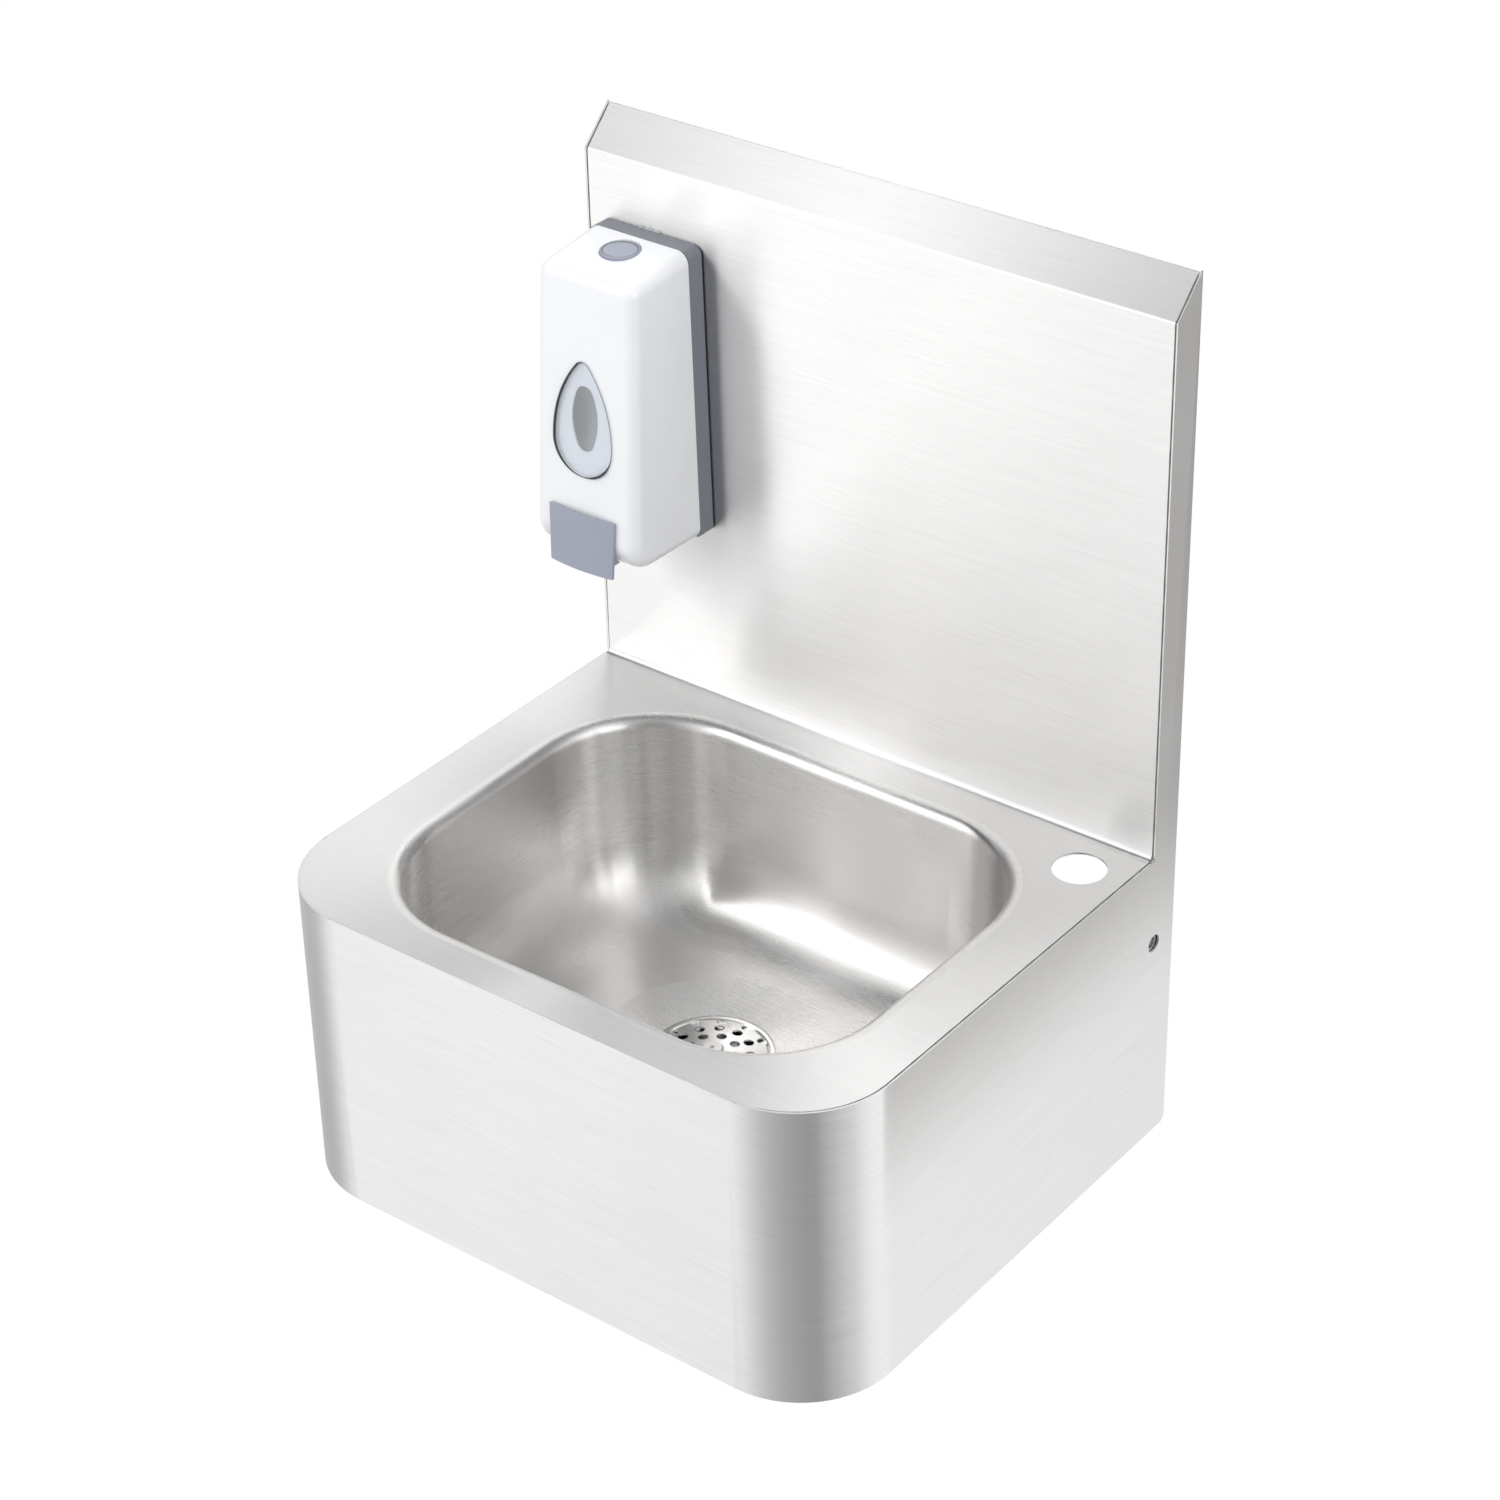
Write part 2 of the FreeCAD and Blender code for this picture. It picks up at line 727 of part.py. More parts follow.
def make_wall_bracket():
    """Strip on the wall with a lip that the rail hooks over, and a tab behind each side hole."""
    body = new_body("wall_bracket")
    gauge = dim.bracket_gauge
    foot = dim.fixing_height - dim.bracket_leg / 2
    head = foot + dim.bracket_leg
    lip_top = foot + dim.bracket_rise
    lip = dim.bracket_step + gauge
    end = half_width - dim.gauge - dim.tab_gap
    step = dim.bracket_step
    profile = new_sketch(body, "side", -(rail_half + dim.rail_lip))
    outline(profile, [
        (0, foot),
        (0, head + gauge / 2),
        (-step, head + step / 2 + gauge / 2),
        (-step, lip_top),
        (-lip, lip_top),
        (-lip, head + step / 2),
        (-gauge, head),
        (-gauge, foot),
    ])
    pad(body, profile, (rail_half + dim.rail_lip) * 2)
    arms = new_sketch(body, "plan", foot)
    rectangle(arms, -end, -gauge, -rail_half, 0)
    rectangle(arms, rail_half, -gauge, end, 0)
    pad(body, arms, dim.bracket_leg)
    for side in (-1, 1):
        tab = new_sketch(body, "side", side * end)
        outline(tab, [(0, foot), (0, dim.tab_top), (-dim.tab_depth, dim.tab_top), (-dim.tab_depth, foot)])
        pad(body, tab, gauge, back=side > 0)
    fillet(
        body,
        lambda box: near(box.YMin, -dim.tab_depth) and near(box.YMax, -dim.tab_depth)
        and near(box.XLength, gauge),
        dim.heel_radius,
    )
    screw_way = new_sketch(body, "side", half_width)
    circle(screw_way, -dim.side_hole_back, dim.side_hole_height, dim.screw_way_radius)
    pocket(body, screw_way, dim.width)
    holes = new_sketch(body, "front", gauge * 2)
    for side in (-1, 1):
        circle(holes, side * (half_width - dim.fixing_side), dim.fixing_height, dim.fixing_radius)
    pocket(body, holes, gauge * 4)


def make_tab_nuts():
    """A square weld nut inside each tab, for the side fixing screw."""
    body = new_body("tab_nuts")
    half = dim.nut_flats / 2
    face = half_width - dim.gauge - dim.tab_gap - dim.bracket_gauge
    y = -dim.side_hole_back
    z = dim.side_hole_height
    for side in (-1, 1):
        sketch = new_sketch(body, "side", side * face)
        rectangle(sketch, y - half, z - half, y + half, z + half)
        circle(sketch, y, z, dim.nut_core_radius)
        pad(body, sketch, dim.nut_thickness, back=side > 0)


def make_hanging_rail():
    """Folded rail welded under the deck, hooked over the bracket's lip."""
    body = new_body("hanging_rail")
    gauge = dim.rail_gauge
    under = dim.deck_height - dim.gauge
    seat = dim.fixing_height - dim.bracket_leg / 2 + dim.bracket_rise
    lip_back = (dim.bracket_step - gauge) / 2 + gauge / 2
    web = -dim.rail_set
    profile = new_sketch(body, "side", -rail_half)
    outline(profile, [
        (web - dim.rail_flange, under),
        (web, under),
        (web, seat + gauge),
        (-lip_back + gauge / 2, seat + gauge),
        (-lip_back + gauge / 2, seat - dim.rail_lip),
        (-lip_back - gauge / 2, seat - dim.rail_lip),
        (-lip_back - gauge / 2, seat),
        (web - gauge, seat),
        (web - gauge, under - gauge),
        (web - dim.rail_flange, under - gauge),
    ])
    pad(body, profile, rail_half * 2)


# ---------------------------------------------------------------- waste
def waste_part(label):
    """A body turned about the waste's axis."""
    return new_body(label, 0, drain_y, 0)


flange_top = drain_floor
flange_seat = drain_floor - dim.flange_thickness
ledge_top = flange_seat - dim.upper_seal_thickness
ledge_foot = ledge_top - dim.bowl_gauge
tail_end = flange_top - dim.tail_length
bridge_top = flange_seat - dim.throat_depth
washer_top = ledge_foot - dim.lower_seal_thickness
back_nut_top = washer_top - dim.washer_thickness
back_nut_foot = back_nut_top - dim.back_nut_thickness
strainer_foot = flange_seat + dim.strainer_seat
strainer_shoulder = strainer_foot + dim.strainer_skirt
strainer_top = strainer_shoulder + dim.strainer_crown


def make_waste_body():
    """Flange, throat and tail, with a cross bar that takes the strainer's screw."""
    body = waste_part("waste_body")
    recess = dim.strainer_radius + dim.recess_gap
    wall = dim.tail_radius - dim.tail_bore
    profile = new_sketch(body, "front")
    outline(profile, [
        (dim.flange_radius, flange_top),
        (recess, flange_top),
        (recess, strainer_foot),
        (dim.tail_bore + wall / 2, strainer_foot),
        (dim.tail_bore, strainer_foot - wall),
        (dim.tail_bore, tail_end),
        (dim.tail_radius, tail_end),
        (dim.tail_radius, back_nut_foot),
        (dim.neck_radius, back_nut_foot),
        (dim.neck_radius, flange_seat),
        (dim.flange_radius, flange_seat),
    ])
    revolve(body, profile)
    bar = new_sketch(body, "plan", bridge_top)
    reach = dim.tail_bore + wall / 2
    rectangle(bar, -reach, -dim.bridge_width / 2, reach, dim.bridge_width / 2)
    pad(body, bar, dim.bridge_depth, back=True)
    boss = new_sketch(body, "plan", bridge_top)
    circle(boss, 0, 0, dim.bridge_width)
    pad(body, boss, dim.bridge_depth, back=True)
    thread = new_sketch(body, "plan", bridge_top)
    circle(thread, 0, 0, dim.screw_radius)
    pocket(body, thread, dim.bridge_depth)


def make_strainer():
    """Domed grid: a shallow crown that turns down at the edge, with three rings of round holes."""
    body = waste_part("strainer")
    gauge = dim.strainer_gauge
    skirt = dim.strainer_skirt
    shoulder = dim.strainer_radius - skirt
    rise = dim.strainer_crown
    crown_radius = (shoulder * shoulder + rise * rise) / (rise * 2)
    eye = dim.screw_radius + dim.ring_gap
    profile = new_sketch(body, "front")
    outline(profile, [
        (dim.strainer_radius, strainer_foot),
        (shoulder, strainer_shoulder, crown_radius, "left"),
        (eye, strainer_top),
        (eye, strainer_top - gauge, crown_radius - gauge, "right"),
        (shoulder - gauge / 2, strainer_shoulder - gauge),
        (dim.strainer_radius - gauge, strainer_foot),
    ])
    revolve(body, profile)
    fillet(body, lambda box: level(box, strainer_shoulder), skirt)
    rings = (
        (dim.inner_ring_radius, dim.inner_ring_turn, 8),
        (dim.middle_ring_radius, dim.outer_ring_turn, 12),
        (dim.outer_ring_radius, dim.outer_ring_turn, 12),
    )
    for radius, turn, count in rings:
        sketch = new_sketch(body, "plan", strainer_top + gauge)
        circle(sketch, radius * turn.cosine(), radius * turn.sine(), dim.strainer_hole_radius)
        hole = pocket(body, sketch, dim.strainer_crown + skirt + gauge * 2)
        around(body, [hole], count)


def make_strainer_screw():
    """Domed screw with a hexagon socket that holds the strainer down on the cross bar."""
    body = waste_part("strainer_screw")
    head_top = strainer_top + dim.screw_head_height
    edge = dim.screw_head_height / 3
    profile = new_sketch(body, "front")
    outline(profile, [
        (0, bridge_top - dim.bridge_depth),
        (dim.screw_radius, bridge_top - dim.bridge_depth),
        (dim.screw_radius, strainer_top),
        (dim.screw_head_radius, strainer_top),
        (dim.screw_head_radius, strainer_top + edge),
        (dim.screw_head_radius - edge * 2, head_top),
        (0, head_top),
    ])
    revolve(body, profile)
    socket = new_sketch(body, "plan", head_top)
    half = dim.screw_socket / 2
    flat = dim.screw_socket * math.sqrt(3) / 2
    outline(socket, [
        (dim.screw_socket, 0),
        (half, flat),
        (-half, flat),
        (-dim.screw_socket, 0),
        (-half, -flat),
        (half, -flat),
    ])
    pocket(body, socket, dim.screw_head_height)


def make_ring(label, top, thickness, outer, inner):
    """A flat ring about the waste's axis."""
    body = waste_part(label)
    sketch = new_sketch(body, "plan", top)
    circle(sketch, 0, 0, outer)
    circle(sketch, 0, 0, inner)
    pad(body, sketch, thickness, back=True)
    return body


def make_waste_rings():
    """Seals above and below the bowl, slip washer and the round back nut with its spanner notches."""
    inner = dim.neck_radius + dim.ring_gap
    outer = dim.flange_radius - dim.seal_margin
    make_ring("upper_seal", flange_seat, dim.upper_seal_thickness, outer, inner)
    make_ring("lower_seal", ledge_foot, dim.lower_seal_thickness, outer, inner)
    make_ring("slip_washer", washer_top, dim.washer_thickness, outer, inner)
    nut = make_ring("back_nut", back_nut_top, dim.back_nut_thickness, dim.back_nut_radius, dim.neck_radius)
    notch = new_sketch(nut, "plan", back_nut_top)
    half = dim.back_nut_notch / 2
    rectangle(notch, dim.back_nut_radius - half, -half, dim.back_nut_radius + half, half)
    cut = pocket(nut, notch, dim.back_nut_thickness)
    around(nut, [cut], count=8)


# ---------------------------------------------------------------- dispenser: back plate and cover
ear_inner = dim.slot_half + dim.lever_web * 2 + dim.ear_gap
ear_outer = ear_inner + dim.lever_web
knuckle_inner = ear_outer + dim.ear_gap
knuckle_outer = knuckle_inner + dim.knuckle_length
ear_radius = dim.hinge_radius - dim.cover_drop
guide_outer = dim.guide_radius + dim.guide_wall
button_y = -dim.button_set
roof_slant = (cover_top_slope * cover_top_slope + 1).root()
roof_inset = dim.cover_wall * roof_slant
guide_front = button_y - guide_outer
flange_above = cover_roof(button_y - dim.guide_radius) - roof_inset - dim.button_gap
flange_below = flange_above - dim.button_flange
guide_floor = flange_below - dim.button_travel - dim.button_gap


def trapezoid(sketch, foot_half, head_half, low, high):
    outline(sketch, [(-foot_half, low), (foot_half, low), (head_half, high), (-head_half, high)])


def egg(sketch, low, low_radius, high, high_radius, side_radius, grow):
    """A closed outline of two round ends on the centre line, low and high, joined by tangent side arcs.

    Each side arc's centre lies across the centre line, as far from each end's centre as side_radius is
    longer than that end's radius.
    """
    low_reach = side_radius - low_radius
    high_reach = side_radius - high_radius
    gap = high - low
    centre_z = low + (gap * gap + low_reach * low_reach - high_reach * high_reach) / (gap * 2)
    centre_x = (low_reach * low_reach - (centre_z - low) * (centre_z - low)).root()

    def tangent(end_z, end_radius, reach):
        """Where the side arc meets one end: on the line from its centre through the end's centre."""
        share = (end_radius + grow) / reach
        return centre_x * share, end_z + (end_z - centre_z) * share

    low_x, low_z = tangent(low, low_radius, low_reach)
    high_x, high_z = tangent(high, high_radius, high_reach)
    outline(sketch, [
        (0, low - low_radius - grow, low_radius + grow, "left"),
        (low_x, low_z, side_radius + grow, "left"),
        (high_x, high_z, high_radius + grow, "left"),
        (-high_x, high_z, side_radius + grow, "left"),
        (-low_x, low_z, low_radius + grow, "left"),
    ])


def window_outline(sketch, grow):
    """The teardrop of the window, grown outwards."""
    tip = dim.window_top - dim.window_tip
    egg(sketch, dim.window_height, dim.window_radius, tip, dim.window_tip, dim.window_side, as_size(grow))


def make_mounting_pads():
    """Two adhesive strips between the back plate and the panel."""
    body = dispenser_body("mounting_pads")
    half = dim.plate_head / 2 - dim.plate_corner
    strips = new_sketch(body, "front")
    for low in (dim.pad_margin, dim.plate_height - dim.pad_margin - dim.pad_breadth):
        rectangle(strips, -half, low, half, low + dim.pad_breadth)
    pad(body, strips, dim.mount_pad)


def make_back_plate():
    """Moulded tray with hinge ears at its foot, a shelf for the reservoir and the catch at its head."""
    body = dispenser_body("back_plate")
    foot = dim.plate_foot / 2
    head = dim.plate_head / 2
    wall = dim.plate_wall
    web = dim.mount_pad + dim.plate_web
    block = new_sketch(body, "front", dim.mount_pad)
    trapezoid(block, foot, head, 0, dim.plate_height)
    pad(body, block, dim.plate_depth)
    rim_edge = lambda box: near(box.YLength, dim.plate_depth)
    fillet(body, lambda box: rim_edge(box) and near(box.ZMax, dim.plate_height), dim.plate_corner)
    fillet(body, lambda box: rim_edge(box) and near(box.ZMin, 0), dim.plate_corner / 2)
    tray = new_sketch(body, "front", plate_front)
    trapezoid(tray, foot - wall, head - wall, wall, dim.plate_height - wall)
    pocket(body, tray, dim.plate_depth - dim.plate_web)
    fillet(
        body,
        lambda box: near(box.YMin, -plate_front) and near(box.YMax, -web) and box.ZMin > foot.value,
        dim.plate_corner - wall,
    )

    ear = new_sketch(body, "side", ear_inner)
    rectangle(ear, hinge_y, hinge_z - ear_radius, -web, hinge_z + ear_radius)
    ear_arm = pad(body, ear, dim.lever_web)
    ear_end = new_sketch(body, "side", ear_inner)
    circle(ear_end, hinge_y, hinge_z, ear_radius)
    ear_disc = pad(body, ear_end, dim.lever_web)
    shelf = new_sketch(body, "plan", dim.tank_foot)
    shelf_inner = dim.outlet_radius + dim.pump_nut_wall + wall
    rectangle(shelf, shelf_inner, -(web + dim.shelf_depth), dim.tank_half, -web)
    shelf_pad = pad(body, shelf, wall, back=True)
    mirror(body, [ear_arm, ear_disc, shelf_pad])
    pin_way = new_sketch(body, "side", ear_outer)
    circle(pin_way, hinge_y, hinge_z, dim.hinge_pin_radius)
    pocket(body, pin_way, ear_outer * 2)

    catch = new_sketch(body, "front", plate_front)
    catch_half = dim.tongue_half + wall
    rectangle(catch, -catch_half, flange_above + dim.catch_gap, catch_half, dim.plate_height - wall)
    pad(body, catch, dim.catch_depth, back=True)
    holes = new_sketch(body, "front", web)
    for height in (dim.plate_hole_height, dim.plate_height - dim.plate_hole_height):
        circle(holes, 0, height, dim.plate_hole_radius)
    pocket(body, holes, dim.plate_web)


def make_hinge_pins():
    """A short pin through each ear of the plate, on which the cover's knuckle turns."""
    body = dispenser_body("hinge_pins")
    for side in (-1, 1):
        sketch = new_sketch(body, "side", side * ear_inner)
        circle(sketch, hinge_y, hinge_z, dim.hinge_pin_radius)
        pad(body, sketch, knuckle_outer - ear_inner - dim.cover_gap, back=side < 0)


def cover_form(body, inset, rear):
    """The cover's outer form, or its hollow, each face of which lies behind the outer one by inset."""
    foot = dim.plate_foot / 2
    low = inset - dim.cover_drop
    front = cover_front(low) + inset * cover_slant
    far = -(cover_back + dim.cover_foot_depth + dim.cover_wall)
    roof_sink = inset * roof_slant
    brow_z = (
        cover_top - roof_sink
        + cover_top_slope * (inset * cover_slant - dim.cover_foot_depth + cover_lean * dim.cover_drop)
    ) / (1 - cover_top_slope * cover_lean)
    brow = cover_front(brow_z) + inset * cover_slant
    over = cover_top + dim.cover_drop
    under = -dim.cover_drop * 2
    back_outline = new_sketch(body, "front", -rear)
    trapezoid(back_outline, foot - inset, dim.plate_head / 2 - inset, under, over)
    front_outline = new_sketch(body, "front", -far)
    narrow = inset + dim.cover_draft
    trapezoid(front_outline, foot - narrow, dim.plate_head / 2 - narrow, under, over)
    loft(body, back_outline, front_outline)
    outside = new_sketch(body, "side", foot)
    outline(outside, [
        (rear, low),
        (front, low),
        (brow, brow_z),
        (rear, cover_roof(rear) - roof_sink),
        (rear, over + dim.cover_drop),
        (far, over + dim.cover_drop),
        (far, under - dim.cover_drop),
        (rear, under - dim.cover_drop),
    ])
    pocket(body, outside, foot * 2)
    fillet(body, lambda box: along_x(box, front, low), dim.cover_toe - inset)
    fillet(body, lambda box: along_x(box, brow, brow_z), dim.cover_brow - inset)
    side_x = dim.plate_head.value / 2 - narrow.value - EDGE_LENGTH
    behind = rear.value - EDGE_LENGTH
    fillet(
        body,
        lambda box: min(abs(box.XMin), abs(box.XMax)) > side_x and box.YMin < behind,
        dim.cover_edge - inset,
    )


def make_front_cover():
    """Moulded shell: leaning front, sloping top, round toe, with window, button hole and the lever's slot."""
    body = dispenser_body("front_cover")
    low = -dim.cover_drop
    foot = dim.plate_foot / 2
    far = -(cover_back + dim.cover_foot_depth + dim.cover_wall)
    cover_form(body, as_size(0), -cover_back)
    hollow = helper_body("cover_hollow")
    cover_form(hollow, dim.cover_wall, dim.cover_gap - cover_back)
    combine(body, hollow, "Cut")

    # open foot: a wide strip at the hinge and the lever's slot running forward through the toe
    slot = new_sketch(body, "plan", low - OVERCUT)
    strip = knuckle_inner + dim.ear_gap
    strip_front = hinge_y - dim.hinge_radius
    outline(slot, [
        (-strip, strip_front),
        (-dim.slot_half, strip_front),
        (-dim.slot_half, far),
        (dim.slot_half, far),
        (dim.slot_half, strip_front),
        (strip, strip_front),
        (strip, OVERCUT - cover_back),
        (-strip, OVERCUT - cover_back),
    ])
    pocket(body, slot, dim.slot_top - low + OVERCUT, back=True)
    # the lower rear corner is round about the hinge, so that it turns clear of the plate
    heel = new_sketch(body, "side", foot)
    outline(heel, [
        (hinge_y, low, dim.hinge_radius, "left"),
        (-cover_back, hinge_z),
        (OVERCUT - cover_back, hinge_z),
        (OVERCUT - cover_back, low - OVERCUT),
        (hinge_y, low - OVERCUT),
    ])
    pocket(body, heel, foot * 2)

    boss = new_sketch(body, "side", dim.slot_half)
    circle(boss, lever_pin_y, lever_pin_z, dim.lever_boss_radius * 2)
    boss_pad = pad(body, boss, dim.lever_web)
    leg = new_sketch(body, "side", dim.slot_half)
    leg_half = dim.lever_boss_radius
    rectangle(leg, lever_pin_y - leg_half, low + dim.cover_wall / 2, lever_pin_y + leg_half, lever_pin_z)
    leg_pad = pad(body, leg, dim.lever_web)
    knuckle = new_sketch(body, "side", knuckle_inner)
    circle(knuckle, hinge_y, hinge_z, ear_radius)
    knuckle_pad = pad(body, knuckle, dim.knuckle_length)
    mirror(body, [boss_pad, leg_pad, knuckle_pad])
    lever_way = new_sketch(body, "side", dim.slot_half + dim.lever_web)
    circle(lever_way, lever_pin_y, lever_pin_z, dim.lever_pin_radius)
    pocket(body, lever_way, (dim.slot_half + dim.lever_web) * 2)
    for side in (-1, 1):
        bore = new_sketch(body, "side", side * knuckle_inner)
        circle(bore, hinge_y, hinge_z, dim.hinge_pin_radius + dim.run_gap)
        pocket(body, bore, dim.knuckle_length, back=side > 0)

    window = new_sketch(body, "front", -far)
    window_outline(window, 0)
    pocket(body, window, dim.cover_foot_depth / 3)
    button_hole = new_sketch(body, "plan", cover_top + OVERCUT)
    circle(button_hole, 0, button_y, dim.button_radius + dim.button_gap)
    pocket(body, button_hole, cover_top + OVERCUT - flange_above)


def trim_to_front(body, outer, inner):
    """Keep the slab between two planes that lean with the cover's front, outer and inner behind its face."""
    low = dim.window_height - dim.window_radius * 2
    high = dim.window_top + dim.window_radius
    side = dim.window_radius * 2
    far = cover_front(low) - dim.cover_foot_depth
    near_side = new_sketch(body, "side", side)
    outline(near_side, [
        (far, low),
        (cover_front(low) + outer, low),
        (cover_front(high) + outer, high),
        (far, high),
    ])
    pocket(body, near_side, side * 2)
    back_side = new_sketch(body, "side", side)
    outline(back_side, [
        (cover_front(low) + inner, low),
        (0, low),
        (0, high),
        (cover_front(high) + inner, high),
    ])
    pocket(body, back_side, side * 2)


def make_window():
    """Clear teardrop lens in the cover, and behind it the pale ring with its oval sight hole."""
    start = -(cover_front(0)) + dim.window_edge + dim.cover_wall
    length = dim.cover_foot_depth / 2
    lens = dispenser_body("window_lens")
    shape = new_sketch(lens, "front", start)
    window_outline(shape, -dim.window_edge)
    pad(lens, shape, length, back=True)
    trim_to_front(lens, -dim.lens_stand, dim.lens_thickness - dim.lens_stand)

    ring = dispenser_body("window_ring")
    plate = new_sketch(ring, "front", start)
    window_outline(plate, -dim.window_edge)
    egg(plate, dim.sight_low, dim.sight_end, dim.sight_high, dim.sight_end, dim.sight_side, as_size(0))
    pad(ring, plate, length, back=True)
    trim_to_front(ring, dim.lens_thickness - dim.lens_stand, dim.cover_wall * cover_slant)


def make_button_guide():
    """Cup glued under the cover's top that guides the lock button and carries its spring."""
    body = dispenser_body("button_guide")
    top = cover_roof(button_y + guide_outer)
    low = guide_floor - dim.guide_wall
    cup = new_sketch(body, "plan", low)
    circle(cup, 0, button_y, guide_outer)
    pad(body, cup, top - low)
    hollow = new_sketch(body, "plan", top)
    circle(hollow, 0, button_y, dim.guide_radius)
    pocket(body, hollow, top - guide_floor)
    above = new_sketch(body, "side", guide_outer)
    rear = button_y + guide_outer
    outline(above, [
        (guide_front, cover_roof(guide_front) - roof_inset),
        (rear, cover_roof(rear) - roof_inset),
        (rear, top + OVERCUT),
        (guide_front, top + OVERCUT),
    ])
    pocket(body, above, guide_outer * 2)
    slot = new_sketch(body, "plan", top)
    half = dim.tongue_half + dim.button_gap
    rectangle(slot, -half, button_y + dim.guide_radius - dim.guide_wall, half, rear + OVERCUT)
    pocket(body, slot, top - guide_floor)


def make_lock_button():
    """Round dished button on a flange, with the tongue that reaches under the plate's catch."""
    body = dispenser_body("lock_button")
    top = cover_roof(button_y) + dim.button_stand
    disc = new_sketch(body, "plan", top)
    circle(disc, 0, button_y, dim.button_radius)
    pad(body, disc, top - flange_above, back=True)
    flange = new_sketch(body, "plan", flange_above)
    circle(flange, 0, button_y, dim.guide_radius - dim.button_gap)
    pad(body, flange, dim.button_flange, back=True)
    tongue = new_sketch(body, "plan", flange_above)
    rectangle(tongue, -dim.tongue_half, button_y, dim.tongue_half, -dim.tongue_end)
    pad(body, tongue, dim.button_flange, back=True)
    well = new_sketch(body, "plan", flange_below)
    circle(well, 0, button_y, dim.button_spring_radius + dim.button_spring_wire + dim.button_gap)
    pocket(body, well, top - flange_below - dim.guide_wall, back=True)
    dish = new_sketch(body, "plan", top)
    circle(dish, 0, button_y, dim.button_radius - dim.button_stand * 2)
    pocket(body, dish, dim.button_dish)
    fillet(body, lambda box: level(box, top) and near(box.XLength, dim.button_radius * 2), dim.button_stand)


# ---------------------------------------------------------------- dispenser: lever
def make_press_lever():
    """Crowned press plate, cheeks that turn round the cover's toe, and two webs back under the pump."""
    body = dispenser_body("press_lever")

    def crescent(height, half):
        """The plate in plan: an outer and an inner arc through the same crown."""
        edge = cover_front(height) - dim.lever_stand
        crown = dim.lever_crown
        outer = (half * half + crown * crown) / (crown * 2)
        sketch = new_sketch(body, "plan", height)
        outline(sketch, [
            (-half, edge, outer, "left"),
            (0, edge - crown, outer, "left"),
            (half, edge),
            (half, edge + dim.lever_gauge, outer, "right"),
            (0, edge + dim.lever_gauge - crown, outer, "right"),
            (-half, edge + dim.lever_gauge),
        ])
        return sketch

    loft(body, crescent(dim.lever_bottom, dim.lever_foot_half), crescent(dim.lever_top, dim.lever_half))
    cheek_radius = dim.cover_toe + dim.lever_gap
    tip = cheek_radius * as_size(math.sqrt(0.5))
    plate_mid = cover_front(lever_pin_z) - dim.lever_stand + dim.lever_gauge / 2
    rise = dim.lever_boss_radius / 2
    cheek_x = dim.lever_foot_half - dim.lever_gauge
    start_y = lever_pin_y - (cheek_radius * cheek_radius - rise * rise).root()
    cheek = new_sketch(body, "side", cheek_x)
    outline(cheek, [
        (plate_mid, lever_pin_z + rise),
        (plate_mid, lever_pin_z - tip),
        (lever_pin_y - tip, lever_pin_z - tip, cheek_radius, "right"),
        (start_y, lever_pin_z + rise),
    ])
    cheek_pad = pad(body, cheek, dim.cheek_thickness)
    web = new_sketch(body, "side", dim.lever_web_inner)
    boss = dim.lever_boss_radius
    arm_top = lever_pin_z - dim.arm_drop
    arm_foot = arm_top - dim.arm_height
    tip_y = lever_pin_y + dim.lever_reach
    outline(web, [
        (plate_mid, lever_pin_z + boss + dim.arm_drop),
        (lever_pin_y, lever_pin_z + boss),
        (lever_pin_y + boss, arm_top),
        (tip_y, arm_top),
        (tip_y, arm_foot),
        (lever_pin_y, arm_foot),
        (plate_mid, lever_pin_z - boss * 2),
    ])
    web_pad = pad(body, web, dim.lever_web)
    tip_disc = new_sketch(body, "side", dim.lever_web_inner)
    circle(tip_disc, tip_y, lever_pin_z - dim.arm_tip_radius, dim.arm_tip_radius)
    tip_pad = pad(body, tip_disc, dim.lever_web)
    hub = new_sketch(body, "side", dim.lever_web_inner)
    circle(hub, lever_pin_y, lever_pin_z, boss)
    hub_pad = pad(body, hub, dim.slot_half - dim.lever_web_inner - dim.cover_gap)
    mirror(body, [cheek_pad, web_pad, tip_pad, hub_pad])
    bore = new_sketch(body, "side", dim.slot_half)
    circle(bore, lever_pin_y, lever_pin_z, dim.lever_pin_radius + dim.run_gap)
    pocket(body, bore, dim.slot_half * 2)


def make_lever_pin():
    body = dispenser_body("lever_pin")
    end = dim.slot_half + dim.lever_web
    sketch = new_sketch(body, "side", -end)
    circle(sketch, lever_pin_y, lever_pin_z, dim.lever_pin_radius)
    pad(body, sketch, end * 2)


# ---------------------------------------------------------------- dispenser: reservoir and pump
filler_y = -dim.filler_set
nut_foot = outlet_end - dim.gasket_thickness - dim.pump_flange - dim.pump_nut_floor
flange_foot = nut_foot + dim.pump_nut_floor
lug_top = lug_foot + dim.lug_thickness
tank_top = dim.tank_foot + dim.tank_height
chamber_top = outlet_end + dim.chamber_rise
piston_foot = flange_foot + dim.piston_lift


def pump_part(label):
    """A body about the pump's axis."""
    return new_body(label, dispenser_x, pump_y - dim.panel_set, dim.dispenser_foot)


